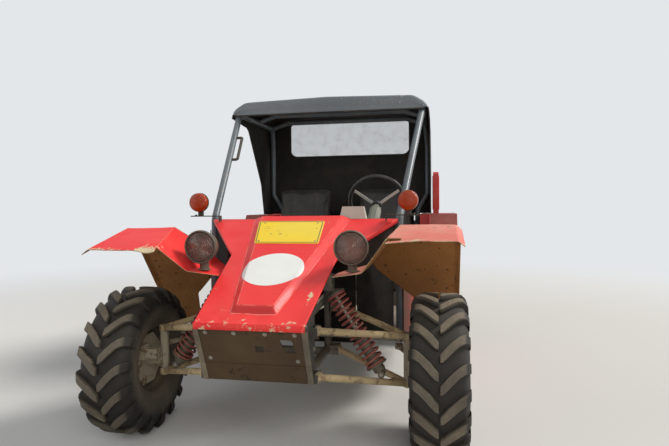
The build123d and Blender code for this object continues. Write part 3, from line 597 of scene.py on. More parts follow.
def tube(points, radius, bend=0.08, sides=18, steps=6):
    line = filleted(points, bend, steps) if bend and len(points) > 2 else list(points)
    section = [(radius * c, radius * s) for s, c in circle(sides)]
    rows = []
    side = None
    for i, point in enumerate(line):
        before, after = line[max(i - 1, 0)], line[min(i + 1, len(line) - 1)]
        ahead = (after - before).normalized()
        if side is None:
            side = ahead.orthogonal().normalized()
        side = (side - ahead * side.dot(ahead)).normalized()
        over = ahead.cross(side)
        rows.append([point + side * a + over * b for a, b in section])
    return Shape().rows(rows, around=True, caps=True)


def ramp(value, low, high, first, last):
    t = min(max((value - low) / (high - low), 0), 1)
    return first + (last - first) * t


def softStep(t, soft):
    # a straight rise from 0 at 0 to 1 at 1, with both its corners rounded over the width soft
    def foot(u):
        return 0 if u < -soft else u if u > soft else (u + soft) ** 2 / (4 * soft)
    return foot(t) if t < 0.5 else 1 - foot(1 - t)


def spaced(line, count):
    # count + 1 points at even distances along a line
    lengths = [0.0]
    for a, b in zip(line, line[1:]):
        lengths.append(lengths[-1] + (b - a).length)
    result, k = [], 0
    for i in range(count + 1):
        goal = lengths[-1] * i / count
        while k < len(line) - 2 and lengths[k + 1] < goal:
            k += 1
        span = max(lengths[k + 1] - lengths[k], 1e-9)
        result.append(line[k].lerp(line[k + 1], min((goal - lengths[k]) / span, 1)))
    return result


def box(low, high):
    corners = [(x, y, z) for x in (low[0], high[0]) for y in (low[1], high[1]) for z in (low[2], high[2])]
    faces = [(0, 1, 3, 2), (4, 6, 7, 5), (0, 4, 5, 1), (2, 3, 7, 6), (0, 2, 6, 4), (1, 5, 7, 3)]
    return Shape().add(corners, faces)


def bolt(place, direction, radius=0.008, height=0.006):
    # a hexagon head on a washer
    thick, wide, top = 0.0015, radius * 1.35, height + 0.001
    head = [(thick, 0), (thick, radius), (height, radius), (top, radius * 0.85), (top, 0)]
    washer = [(0, 0), (0, wide), (thick, wide), (thick, 0)]
    shape = turned(head, 6, closed=False).take(turned(washer, 18, closed=False))
    return shape.moved(aimed(place, direction))


# Pieces that stay as built in CAD, with their finish and softened edges
carried = {
    # the rear fenders take the darker red copy as painted shade
    "side_panels": ("boxRed", 0.001), "rear_fenders": ("shadedRed", 0.001), "cargo_sides": ("boxRed", 0.004),
    "nose_plates": ("noseMud", 0.001), "rear_frame": ("black", 0.002), "dashboard": ("plastic", 0.003),
    "grab_handle": ("rubber", 0.001), "floor_pan": ("alloy", 0.001), "bulkheads": ("shade", 0.001),
    "instrument_pod": ("podPlastic", 0.004), "steering_column": ("shroud", 0.002),
    "steering_rack": ("cast", 0.002), "tie_rods": ("steel", 0.001), "knuckle_left": ("pale", 0.003),
    "knuckle_right": ("pale", 0.003), "trailing_arms": ("tan", 0.002), "drive_shafts": ("steel", 0.002),
    "engine_block": ("cast", 0.012), "cargo_floor": ("alloy", 0.001), "tail_lamps": ("redLens", 0.003),
    "seat_bases": ("black", 0.002), "rear_window": ("pane", 0.0),
}
for node, (material, width) in carried.items():
    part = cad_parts[node]
    part.data.materials.clear()
    part.data.materials.append(paint[material])
    softened(part, width, 32)
print("carried nodes finished")

# Wheels
tyre = {
    "radius": 0.330, "base": 0.304, "pitches": 18, "draft": 0.0035, "deep": 0.022, "stagger": 0.42,
    "profile": [
        (0.078, 0.1535), (0.084, 0.156), (0.0885, 0.164), (0.095, 0.172), (0.1035, 0.188), (0.1045, 0.1925),
        (0.109, 0.207), (0.1105, 0.222), (0.1105, 0.232), (0.1125, 0.236), (0.1125, 0.246), (0.1095, 0.252),
        (0.106, 0.266), (0.099, 0.284), (0.090, 0.295), (0.070, 0.3015), (0.045, 0.304),
    ],
    # stations along a lug: distance from the middle, the two edges' distances round the tread, the top's radius
    "lug": [
        (0.003, -0.043, -0.014, 0.330), (0.014, -0.040, 0.000, 0.330), (0.030, -0.024, 0.019, 0.330),
        (0.052, 0.000, 0.041, 0.3295), (0.074, 0.022, 0.060, 0.328), (0.092, 0.033, 0.072, 0.321),
        (0.106, 0.038, 0.078, 0.306), (0.1145, 0.041, 0.080, 0.287), (0.1155, 0.043, 0.078, 0.268),
        (0.110, 0.045, 0.074, 0.252),
    ],
}


def tyreShape():
    half = tyre["profile"]
    profile = [(-x, r) for x, r in half] + [(0, tyre["base"])] + [(x, r) for x, r in reversed(half)]
    shape = turned(profile, 96)
    for i in range(tyre["pitches"]):
        for side, shift in ((1, 0), (-1, tyre["stagger"])):
            turn = math.tau / tyre["pitches"] * (i + shift)
            rows = []
            for x, low, high, top in tyre["lug"]:
                inner = min(tyre["base"], top) - tyre["deep"]
                rounds = (low - tyre["draft"], low, high, high + tyre["draft"])
                angles = [turn + around / tyre["radius"] for around in rounds]
                corners = zip(angles, (inner, top, top, inner))
                rows.append([(side * x, r * math.sin(a), r * math.cos(a)) for a, r in corners])
            shape.rows(rows if side > 0 else rows[::-1], around=True, caps=True)
    return shape


rim = {
    "windows": 8, "windowFrom": 0.100, "bars": 9, "open": 5, "thick": 0.005, "nuts": 4, "nutCircle": 0.055,
    "barrel": [
        (-0.089, 0.158), (-0.089, 0.1625), (-0.086, 0.1625), (-0.083, 0.156), (-0.080, 0.1515),
        (-0.050, 0.1505), (-0.040, 0.140), (0.000, 0.139), (0.015, 0.150), (0.080, 0.1515), (0.083, 0.156), (0.086, 0.1625),
        (0.089, 0.1625), (0.089, 0.158), (0.083, 0.148), (0.015, 0.1455), (0.002, 0.1355), (-0.042, 0.1365),
        (-0.052, 0.147), (-0.083, 0.148),
    ],
    "disc": [
        (-0.013, 0.032), (-0.013, 0.078), (-0.006, 0.086), (0.004, 0.094), (0.007, 0.100), (0.008, 0.116),
        (0.007, 0.132), (0.003, 0.137),
    ],
}


def rimShape():
    shape = turned(rim["barrel"], 72)
    segments = rim["windows"] * rim["bars"]
    front = ringRows(rim["disc"], segments)
    back = ringRows([(x + rim["thick"], r) for x, r in rim["disc"]], segments)
    rows = [a + b[::-1] for a, b in zip(front, back)]
    count = len(rim["disc"])
    first = next(i for i, (x, r) in enumerate(rim["disc"]) if r >= rim["windowFrom"])
    openRows = {first, first + 1, 2 * count - 2 - first, 2 * count - 3 - first}

    def window(i, j):
        return j in openRows and i % rim["bars"] < rim["open"]

    shape.rows(rows, around=True, along=True, skip=window)
    for i in range(rim["nuts"]):
        turn = math.tau * (i + 0.5) / rim["nuts"]
        place = Vector((-0.008, rim["nutCircle"] * math.sin(turn), rim["nutCircle"] * math.cos(turn)))
        shape.take(bolt(place, leftward, 0.0095, 0.014), 1)
    return shape


tyreBase, rimBase = tyreShape(), rimShape()
for end, y in (("front", 0.0), ("rear", wheelbase)):
    for side, turn in (("left", Matrix.Identity(4)), ("right", mirrored)):
        where = turn @ Matrix.Translation(at(wheelX, y, axleZ))
        body, name = f"{end}_wheel_{side}", f"{end}_{side}"
        piece(f"tyre_{name}", tyreBase.moved(where), ["tyre"], body, [f"{end}_tyre_{side}"],
              bevel=0.0022)
        piece(f"rim_{name}", rimBase.moved(where), ["rim", "steel"], body, [f"{end}_rim_{side}"],
              bevel=0.001)
print("wheels built")

# Roll cage and frame: round tubes along the same lines as the solids
tubeRadius = 0.019
railX, railZ = 0.180, 0.373
hood = {
    "noseY": -0.409, "noseZ": 0.600, "front": -0.420, "lipZ": 0.574, "noseHalf": 0.214, "waistY": 0.064,
    "waistHalf": 0.249, "cowlY": 0.404, "cowlZ": 0.962, "cowlHalf": 0.484, "flange": 0.022, "edge": 0.007,
    "fold": 0.004,
    # the raised middle: half width and y at its nose end and its cowl end, at its foot and at its top
    "foot": [(0.090, -0.357), (0.250, 0.398)], "top": [(0.072, -0.334), (0.208, 0.398)], "raise": 0.018, "soft": 0.09,
    "sheet": 0.0026, "rows": 190, "columns": 132,
    # x, y, depth and radius of each dent
    "dents": [(0.150, -0.260, 0.004, 0.035), (-0.165, -0.330, 0.003, 0.030), (0.330, 0.300, 0.003, 0.050),
              (-0.300, 0.220, 0.003, 0.045), (0.020, -0.385, 0.004, 0.030), (-0.120, -0.395, 0.003, 0.020)],
}
hoodSlope = (hood["cowlZ"] - hood["noseZ"]) / (hood["cowlY"] - hood["noseY"])
hoodTilt = math.atan(hoodSlope)
hoodUp = Vector((0, -math.sin(hoodTilt), math.cos(hoodTilt)))


def hoodZ(y):
    return hood["noseZ"] + hoodSlope * (y - hood["noseY"])


def hoodHalf(y):
    if y < hood["waistY"]:
        return ramp(y, hood["noseY"], hood["waistY"], hood["noseHalf"], hood["waistHalf"])
    return ramp(y, hood["waistY"], hood["cowlY"], hood["waistHalf"], hood["cowlHalf"])


def hoodRaise(x, y):
    (footX0, footY), (footX1, endY) = hood["foot"]
    (topX0, topY), (topX1, _) = hood["top"]
    footX = footX0 + (footX1 - footX0) * (y - footY) / (endY - footY)
    topX = topX0 + (topX1 - topX0) * (y - topY) / (endY - topY)
    inward = min((footX - abs(x)) / (footX - topX), (y - footY) / (topY - footY))
    return hood["raise"] * softStep(inward, hood["soft"])


def hoodRise(x, y):
    # with the dents and waves of the worn sheet
    rise = hoodRaise(x, y) if y > hood["noseY"] else 0
    for dentX, dentY, depth, radius in hood["dents"]:
        rise -= depth * math.exp(-((x - dentX) ** 2 + (y - dentY) ** 2) / radius ** 2)
    return rise + 0.0011 * wave(x * 7, y * 7, 3.1)


def hoodShape():
    corners = [(hood["front"], hood["lipZ"]), (hood["front"], hood["noseZ"]), (hood["noseY"], hood["noseZ"]),
               (hood["cowlY"], hood["cowlZ"])]
    line = filleted([Vector((0, y, z)) for y, z in corners], 0.007, 5)
    last, end = line[-2], line[-1]
    line = line[:-1] + [last.lerp(end, (i + 1) / hood["rows"]) for i in range(hood["rows"])]
    rows = []
    for i, place in enumerate(line):
        ahead = (line[min(i + 1, len(line) - 1)] - line[max(i - 1, 0)]).normalized()
        up = Vector((0, -ahead.z, ahead.y))
        y = place.y
        half = hoodHalf(max(y, hood["noseY"]))
        deeper = softStep((y - hood["waistY"] + 0.06) / 0.06, 0.3)
        deep = hood["edge"] + (hood["flange"] - hood["edge"]) * deeper
        row = []
        for j in range(hood["columns"] + 1):
            t = 2 * j / hood["columns"] - 1
            x = t * (half - hood["fold"])
            row.append(at(x, y, place.z) + up * hoodRise(x, y))
        for side in (-1, 1):
            edge = []
            for k in range(1, 6):
                a = math.pi / 2 * k / 5
                out = half - hood["fold"] + hood["fold"] * math.sin(a)
                edge.append(at(side * out, y, place.z) - up * hood["fold"] * (1 - math.cos(a)))
            edge.append(at(side * half, y, place.z) - up * deep)
            row = edge[::-1] + row if side < 0 else row + edge
        rows.append(row)
    return Shape().rows(rows)


def onHood(x, y, over=0.0):
    # a point over the top of the hood's raised middle, with y along the vehicle
    return at(x, y, hoodZ(y)) + hoodUp * (hood["raise"] + over)


cage = {
    "side": [
        (0.490, 0.440, 0.3925), (0.490, 0.440, 0.965), (0.588, 1.085, 1.628), (0.588, 1.790, 1.628),
        (0.601, 1.850, 1.480), (0.601, 1.850, 1.120), (0.525, 1.850, 1.000), (0.525, 1.850, 0.3925),
    ],
    "bows": [1.099, 1.4375, 1.776],
    "rise": 0.044,
}


def cageShape():
    shape = tube([at(*p) for p in cage["side"]], tubeRadius, 0.07)
    shape.both()
    for y in cage["bows"]:
        half = [(0.588, 1.628), (0.458, 1.628 + cage["rise"])]
        points = [at(-x, y, z) for x, z in half] + [at(x, y, z) for x, z in reversed(half)]
        shape.take(tube(points, 0.018, 0.06))
    shape.take(rod(at(-0.525, 1.850, 0.900), at(0.525, 1.850, 0.900), 0.018))
    # foot plates where the pillars stand on the floor
    for x in (0.490, -0.490):
        shape.take(box(at(x - 0.024, 0.428, 0.3957), at(x + 0.024, 0.470, 0.4005)))
    return shape


piece("cage_tubes", cageShape(), ["cage"], "chassis", ["roll_cage"], smooth=50)

railDrop = -0.0249


def underHood(x, y):
    # a point on the rail that carries the hood
    return x, y, hoodZ(y) + railDrop


frameLines = {
    # half of each pair: points, radius, bend
    "rail": ([(railX, -0.309, railZ), (railX, 2.369, railZ)], tubeRadius, 0),
    "hoodRail": (
        [underHood(0.178, -0.38), underHood(0.178, -0.2), underHood(0.213, 0.07), underHood(0.428, 0.392)],
        tubeRadius, 0.12,
    ),
    "sill": ([(0.483, 0.421, railZ), (0.585, 0.700, railZ), (0.585, 1.579, railZ)], tubeRadius, 0.12),
    "strut": ([(railX, -0.29, railZ), underHood(0.178, -0.365)], 0.016, 0),
    "tower": ([(railX, 0.15, railZ), underHood(railX, 0.15)], 0.017, 0),
}
frameCrosses = [
    (railX, -0.29, railZ), (railX, 0.095, railZ), underHood(0.266, 0.15), (0.490, 0.440, railZ),
    (0.585, 1.0, railZ), (0.585, 1.56, railZ), (0.525, 1.85, railZ), (railX, 2.35, railZ),
]
ears = {
    # the plates on both sides of a bush: distances of their two faces from its middle
    "near": 0.0263, "far": 0.0313,
    # x from, x to, y of the bush, z, half height
    "front": [
        (0.185, 0.234, 0.15, 0.371, 0.021), (0.185, 0.234, 0.15, 0.570, 0.021),
        (0.192, 0.246, -0.05, 0.706, 0.032),
    ],
    # x of the bush, y from, y to, z from, z to
    "rear": [(0.300, 1.565, 1.603, 0.330, 0.372), (0.480, 1.565, 1.603, 0.330, 0.372)],
}


def frameShape():
    shape = Shape()
    for points, radius, bend in frameLines.values():
        shape.take(tube([at(*p) for p in points], radius, bend, steps=8))
    for side in (-1, 1):
        near, far = sorted((side * ears["near"], side * ears["far"]))
        for x0, x1, y, z, high in ears["front"]:
            shape.take(box(at(x0, y + near, z - high), at(x1, y + far, z + high)))
            head = at((x0 + x1) / 2 + 0.012, y + side * ears["far"], z)
            shape.take(bolt(head, rearward * side, 0.009, 0.007))
        for x, y0, y1, z0, z1 in ears["rear"]:
            shape.take(box(at(x + near, y0, z0), at(x + far, y1, z1)))
    shape.take(box(at(0.192, 0.1187, 0.549), at(0.200, 0.1813, 0.591)))
    shape.both()
    for half, y, z in frameCrosses:
        shape.take(rod(at(-half, y, z), at(half, y, z), 0.018))
    return shape


piece("frame_tubes", frameShape(), ["black"], "chassis", ["frame"], smooth=50, bevel=0.001)

# Front arms
arms = {
    "inX": 0.228, "legY": (-0.275, 0.150), "legShare": 0.955, "radius": 0.014, "bush": 0.016, "bushHalf": 0.026,
    "pin": 0.010, "kingX": 0.555, "ball": 0.022, "ballHalf": 0.0138, "gusset": (0.80, 0.7), "gussetHalf": 0.002,
    # heights of the front bush, back bush and outer ball, and 1 when the ball's cap is on top, -1 when below
    "pairs": [(0.549, 0.570, 0.476, 1), (0.371, 0.371, 0.276, -1)],
}


def armShape():
    shape = Shape()
    span, half = rearward * arms["bushHalf"], upward * arms["ballHalf"]
    for frontZ, backZ, outZ, side in arms["pairs"]:
        ball = at(arms["kingX"], 0, outZ)
        eyes = [at(arms["inX"], y, z) for y, z in zip(arms["legY"], (frontZ, backZ))]
        for eye in eyes:
            shape.take(rod(eye - span, eye + span, arms["bush"], 24, 0.002))
            shape.take(rod(eye - span * 1.01, eye + span * 1.01, arms["pin"], 16, 0.001), 1)
            # the leg stops at the ball's housing
            shape.take(tube([eye, eye.lerp(ball, arms["legShare"])], arms["radius"], 0))
        shape.take(rod(ball - half, ball + half, arms["ball"], 28, 0.003))
        shape.take(bolt(ball + half * side, upward * side, 0.011, 0.002), 1)
        # gusset plate between the two legs near the ball
        inner = [eye.lerp(ball, arms["gusset"][0]) for eye in eyes]
        outer = [place.lerp(ball, arms["gusset"][1]) for place in inner]
        corners = [inner[0], outer[0], outer[1], inner[1]]
        up = upward * arms["gussetHalf"]
        shape.rows([[p - up for p in corners], [p + up for p in corners]], around=True, caps=True)
    return shape.both()


piece("front_arm_tubes", armShape(), ["tan", "steel"], "chassis", ["front_arms"], smooth=50)

# Dampers and coils
dampers = {
    "front": [(0.452, -0.077, 0.338), (0.232, -0.050, 0.690)],
    "rear": [(0.470, 1.976, 0.370), (0.470, 1.926, 0.7265)],
    "foot": 0.010, "body": 0.025, "barrel": 0.023, "barrelShare": 0.42, "rod": 0.0075, "rodTop": 0.012,
    "seat": 0.036, "thick": 0.007, "flange": 0.046, "rings": 5, "ringPitch": 0.006, "ringWide": 0.003,
    "eye": 0.0145, "eyeHalf": 0.026, "pin": 0.007, "coil": 0.039, "wire": 0.0047, "turnSteps": 28,
}


def damperShape(low, high, across):
    span = (high - low).length
    foot, body, barrel, flange = (dampers[key] for key in ("foot", "body", "barrel", "flange"))
    seat, seatTop = dampers["seat"], dampers["seat"] + dampers["thick"]
    bodyTop, barrelTop, rodTop = seat + 0.10 * span, span * dampers["barrelShare"], span - dampers["rodTop"]
    tubes = [
        (foot, 0), (foot, 0.022), (0.014, body), (bodyTop, body), (bodyTop + 0.001, barrel),
        (barrelTop, barrel), (barrelTop + 0.002, 0.020), (barrelTop + 0.004, 0.0),
    ]
    collar = [(seat, 0.024), (seat, 0.044), (seat + 0.002, flange), (seatTop, flange), (seatTop, 0.024)]
    top = [
        (span - seatTop, 0.008), (span - seatTop, flange), (span - seat - 0.002, flange), (span - seat, 0.040),
        (span - 0.02, 0.012), (rodTop, 0.008),
    ]
    slider = [(barrelTop, 0), (barrelTop, dampers["rod"]), (rodTop, dampers["rod"]), (rodTop, 0)]
    shape = turned(tubes, 32, 0, False).take(turned(collar, 40)).take(turned(top, 40))
    shape.take(turned(slider, 20, 1, False))
    # rings cut for the coil's height
    for i in range(dampers["rings"]):
        x = seatTop + (i + 1) * dampers["ringPitch"]
        end = x + dampers["ringWide"]
        shape.take(turned([(x, 0.0245), (x, 0.0265), (end, 0.0265), (end, 0.0245)], 32))
    shape = shape.moved(aimed(low, high - low))
    half = across * dampers["eyeHalf"]
    for place in (low, high):
        shape.take(rod(place - half, place + half, dampers["eye"], 24, 0.002))
        shape.take(rod(place - half * 1.0077, place + half * 1.0077, dampers["pin"], 16, 0.001), 1)
    return shape


def coilShape(low, high, turns):
    start, radius = dampers["seat"] + dampers["thick"] + dampers["wire"], dampers["coil"]
    length = (high - low).length - 2 * start
    steps = turns * dampers["turnSteps"]
    line = []
    for i in range(steps + 1):
        t = i / steps
        turn = math.tau * turns * t
        # the end turns lie close together
        rise = min(max(t * 1.10 - 0.05, 0.012 * t), 1 - 0.012 * (1 - t))
        line.append(Vector((start + length * rise, radius * math.cos(turn), radius * math.sin(turn))))
    return tube(line, dampers["wire"], 0, 10).moved(aimed(low, high - low))


frontEnds, rearEnds = ([at(*place) for place in dampers[end]] for end in ("front", "rear"))
shocks = damperShape(*frontEnds, rearward).take(damperShape(*rearEnds, leftward)).both()
piece("dampers", shocks, ["black", "steel"], "chassis", ["shocks"])
coils = coilShape(*frontEnds, 15).take(coilShape(*rearEnds, 12)).both()
piece("coil_springs", coils, ["springRed"], "chassis", ["springs"], smooth=60)
print("suspension built")

# Steering wheel, modelled flat with its face up
steering = {
    "centre": (0.340, 0.800, 1.050), "tilt": 27, "radius": 0.170, "wire": 0.013, "ridge": 0.0006, "segments": 72,
    "spokes": (90, 210, 330), "spokeHalf": (0.0022, 0.008), "boltCircle": 0.018, "bolts": 6,
    "hub": [(-0.059, 0), (-0.059, 0.026), (-0.056, 0.028), (-0.036, 0.028), (-0.029, 0.020), (-0.028, 0)],
}


def steeringShape():
    far = steering["radius"] - steering["wire"]
    rows = []
    for i, (s, c) in enumerate(circle(steering["segments"])):
        wire = steering["wire"] - 0.0008 + steering["ridge"] * (-1) ** i
        outward = Vector((c, s, 0))
        rows.append([outward * (far + wire * out) + upward * wire * up for up, out in circle(14)])
    shape = Shape().rows(rows, around=True, along=True)
    thick, wide = steering["spokeHalf"]
    flat = [(thick, -wide), (thick, wide), (-thick, wide), (-thick, -wide)]
    for angle in steering["spokes"]:
        outward = Vector((math.cos(math.radians(angle)), math.sin(math.radians(angle)), 0))
        across = outward.cross(upward)
        ends = outward * 0.022 - upward * 0.042, outward * (far / 2) - upward * 0.022, outward * far
        rows = [[p + across * b + upward * a for a, b in flat] for p in filleted(ends, 0.05, 4)]
        shape.rows(rows, around=True, caps=True, mark=1)
    shape.take(turned(steering["hub"], 36, 0, False).moved(aimed(Vector((0, 0, 0)), upward)))
    for s, c in circle(steering["bolts"]):
        place = Vector((steering["boltCircle"] * c, steering["boltCircle"] * s, -0.034))
        shape.take(bolt(place, upward, 0.003, 0.003), 1)
    tilt = math.radians(steering["tilt"])
    facing = Vector((0, math.cos(tilt), math.sin(tilt)))
    turn = Matrix((leftward, facing.cross(leftward), facing)).transposed().to_4x4()
    return shape.moved(Matrix.Translation(at(*steering["centre"])) @ turn)


piece("steering_wheel_rim", steeringShape(), ["grip", "spoke"], "steering_wheel", ["steering_wheel"],
      smooth=50)
print("steering wheel built")

# Headlights: a black bowl with its rim, a reflector, a bulb and a domed glass
lamp = {
    "centre": (0.330, -0.092, 0.854), "stemBack": 0.040, "stem": 0.020, "stemZ": (0.752, 0.799),
    "nutZ": (0.7505, 0.757),
    "bowl": [
        (-0.104, 0), (-0.104, 0.020), (-0.098, 0.034), (-0.080, 0.047), (-0.055, 0.060), (-0.030, 0.067),
        (-0.008, 0.0705), (-0.002, 0.0705), (-0.002, 0.067), (-0.006, 0.0655),
    ],
    "mirror": [(-0.006, 0.0655), (-0.03, 0.060), (-0.055, 0.048), (-0.072, 0.034), (-0.082, 0.016), (-0.084, 0)],
    "ring": [
        (-0.009, 0.0705), (-0.009, 0.073), (0.002, 0.073), (0.0055, 0.0705), (0.006, 0.068), (0.003, 0.0655),
        (-0.003, 0.0655), (-0.003, 0.0705),
    ],
    "bulb": [(-0.06, 0), (-0.06, 0.010), (-0.036, 0.011), (-0.034, 0.006), (-0.034, 0)],
    "glass": 0.0652, "dome": 0.0095, "domeSteps": (0.95, 0.85, 0.7, 0.55, 0.4, 0.25, 0.12),
}


def facingFront(shape, centre):
    # carries a shape turned about +X to a lamp whose +X points to the vehicle's front
    return shape.moved(aimed(centre, -rearward))


def bowlShape():
    shape = turned(lamp["bowl"], 48, 0, False).take(turned(lamp["mirror"], 48, 1, False))
    shape.take(turned(lamp["ring"], 56, 2)).take(turned(lamp["bulb"], 20, 1, False))
    bowl = facingFront(shape, at(*lamp["centre"]))
    x, y = lamp["centre"][0], lamp["centre"][1] + lamp["stemBack"]
    bowl.take(rod(*(at(x, y, z) for z in lamp["stemZ"]), lamp["stem"], 24, 0.002))
    bowl.take(rod(*(at(x, y, z) for z in lamp["nutZ"]), 0.030, 6, 0.001), 2)
    return bowl.both()


def lampGlassShape():
    radius, dome, lip = lamp["glass"], lamp["dome"], 0.0005
    profile = [(-0.001, 0), (-0.001, radius - 0.0002), (lip, radius)]
    turns = [math.pi / 2 * t for t in lamp["domeSteps"]]
    profile += [(lip + dome * math.cos(t), radius * math.sin(t)) for t in turns] + [(lip + dome, 0)]
    return facingFront(turned(profile, 56, 0, False), at(*lamp["centre"])).both()


piece("lamp_bowls", bowlShape(), ["black", "mirror", "black"], "chassis", ["headlight_bowls"])
piece("lamp_glasses", lampGlassShape(), ["lampGlass"], "chassis", ["headlight_lenses"])

# Indicators on their bars
blinker = {
    "centre": (0.539, 0.344, 1.052), "lens": 0.048, "bulge": 0.022, "steps": 9, "barX": (0.428, 0.590),
    "barY": (0.356, 0.384), "barZ": (0.978, 0.983),
    "holder": [
        (-0.040, 0), (-0.040, 0.026), (-0.036, 0.031), (-0.022, 0.047), (-0.020, 0.050), (-0.0125, 0.050),
        (-0.0125, 0.046), (-0.018, 0.044), (-0.018, 0),
    ],
}


def blinkerHolder():
    x, y, z = blinker["centre"]
    (x0, x1), (y0, y1), (z0, z1) = (blinker[key] for key in ("barX", "barY", "barZ"))
    shape = facingFront(turned(blinker["holder"], 40, 0, False), at(x, y, z))
    shape.take(rod(at(x, y + 0.029, z0 + 0.004), at(x, y + 0.029, z - 0.02), 0.015, 24, 0.003))
    shape.take(box(at(x0, y0, z0), at(x1, y1, z1)))
    shape.take(box(at(x0, y0, hoodZ(y1) + 0.0004), at(x0 + 0.005, y1, z0 + 0.002)))
    shape.take(bolt(at(0.565, 0.370, z1), upward, 0.006, 0.005))
    return shape.both()


def blinkerLens():
    radius, edge = blinker["lens"], 0.004
    profile = [(-0.012, 0), (-0.012, radius), (-edge, radius + 0.0012), (edge, radius)]
    for i in range(1, blinker["steps"]):
        t = math.pi / 2 * i / blinker["steps"]
        profile.append((edge + blinker["bulge"] * math.sin(t), radius * math.cos(t)))
    profile.append((0.0265, 0))
    return facingFront(turned(profile, 48, 0, False), at(*blinker["centre"])).both()


piece("indicator_bodies", blinkerHolder(), ["rubber"], "chassis", ["indicator_holders"],
      bevel=0.0006)
piece("indicator_domes", blinkerLens(), ["amber"], "chassis", ["indicator_lenses"])
print("lamps built")

# Hood and what is painted or fixed on it
# the hood's underside takes the darker red copy as painted shade
piece("hood_sheet", hoodShape(), ["red", "shadedRed"], "chassis", ["hood"], solid=hood["sheet"],
      layers=(1, 0), smooth=50)

sign = {
    "centre": (-0.022, 0.236), "wide": 0.322, "long": 0.216, "corner": 0.012, "thick": 0.0022, "line": 0.0035,
    "inset": 0.006, "lean": 0.14, "flare": 0.45, "screwIn": (0.026, 0.0208),
    "screw": [(0, 0.0048), (0.001, 0.0046), (0.0022, 0.003), (0.0025, 0)],
}
disc = {"centre": (-0.005, -0.080), "radius": 0.133, "thick": 0.0012, "rings": 40, "segments": 96}


def signOutline(inset, over):
    # a rounded rectangle lying on the hood; long is measured along y
    x0, y0 = sign["centre"]
    corner = max(sign["corner"] - inset, 0.004)
    halfX, halfY = sign["wide"] / 2 - inset - corner, sign["long"] / 2 - inset - corner
    points = []
    for k, (sx, sy) in enumerate(((1, 1), (-1, 1), (-1, -1), (1, -1))):
        for i in range(7):
            a = math.pi / 2 * (k + i / 6)
            x, y = sx * halfX + corner * math.cos(a), sy * halfY + corner * math.sin(a)
            points.append(onHood(x0 + x * (1 + sign["flare"] * y) - sign["lean"] * y, y0 + y, over))
    return points


def signShape():
    thick, inset, far = sign["thick"], sign["inset"], sign["inset"] + sign["line"]
    low, high = thick + 0.0004, thick + 0.0012
    # inset and height of each outline, and the material from it to the next
    steps = [(0, 0.0002, 0), (0, thick, 0), (inset, low, 1), (inset, high, 1), (far, high, 1), (far, low, 0)]
    outlines = [signOutline(inward, over) for inward, over, _ in steps]
    shape = Shape()
    for (_, _, mark), first, last in zip(steps, outlines, outlines[1:]):
        shape.rows([first, last], around=True, mark=mark)
    shape.add(outlines[-1], [list(range(len(outlines[-1])))])
    screw = turned(sign["screw"], 16, 2, False)
    for sx, sy in ((-1, -1), (-1, 1), (1, -1), (1, 1)):
        y = sy * (sign["long"] / 2 - sign["screwIn"][1])
        x = sx * (sign["wide"] / 2 - sign["screwIn"][0]) - sign["lean"] * y
        place = onHood(sign["centre"][0] + x, sign["centre"][1] + y, thick + 0.0003)
        shape.take(screw.moved(aimed(place, hoodUp)))
    return shape


def discShape():
    x0, y0 = disc["centre"]
    levels = [(k / disc["rings"], 0.0) for k in range(disc["rings"])]
    levels += [(1.0, -0.0003), (1.0, -disc["thick"])]
    rows = []
    for share, over in levels:
        row = []
        for s, c in circle(disc["segments"]):
            r = share * disc["radius"]
            x, y = x0 + r * c, y0 + r * s * math.cos(hoodTilt)
            row.append(at(x, y, hoodZ(y)) + hoodUp * (hoodRise(x, y) + disc["thick"] + over))
        rows.append(row)
    return Shape().rows(rows, around=True)


piece("sign_plate", signShape(), ["yellow", "black", "steel"], "chassis", smooth=40)
piece("hood_disc", discShape(), ["white"], "chassis", weld=0.0001)
print("hood built")

# Front fenders: folded sheets, red on top and under dried mud below
fender = {
    "shelfIn": (0.2463, 0.732), "shelfOut": (0.377, 0.755), "innerRise": 1.29, "outer": 0.779, "edge": 0.024,
    "edgeDrop": 0.020, "lipY": -0.268, "crownY": 0.040, "fallY": 0.172, "fall": 0.083,
    "back": [(0.372, 0.590), (0.455, 0.425)],
    "inside": [(0.380, 0.590), (0.578, 0.563), (0.728, 0.394), (0.755, 0.377)],
    "plan": [(0.2463, -0.098), (0.377, -0.134), (0.490, -0.262)], "hoodGap": 0.0004, "wallBack": 0.330,
    "rows": 96, "columns": 64, "sheet": 0.0024,
    # heights of the front lip and the crown; the passenger's side is bent down
    "left": (0.895, 0.945), "right": (0.852, 0.934), "tearY": -0.232, "tearLong": 0.115, "tearDrop": 0.012,
}


def along(table, value):
    # the second column of a table at a value of its first
    for (a, b), (c, d) in zip(table, table[1:]):
        if value <= c:
            return ramp(value, a, c, b, d)
    return table[-1][1]


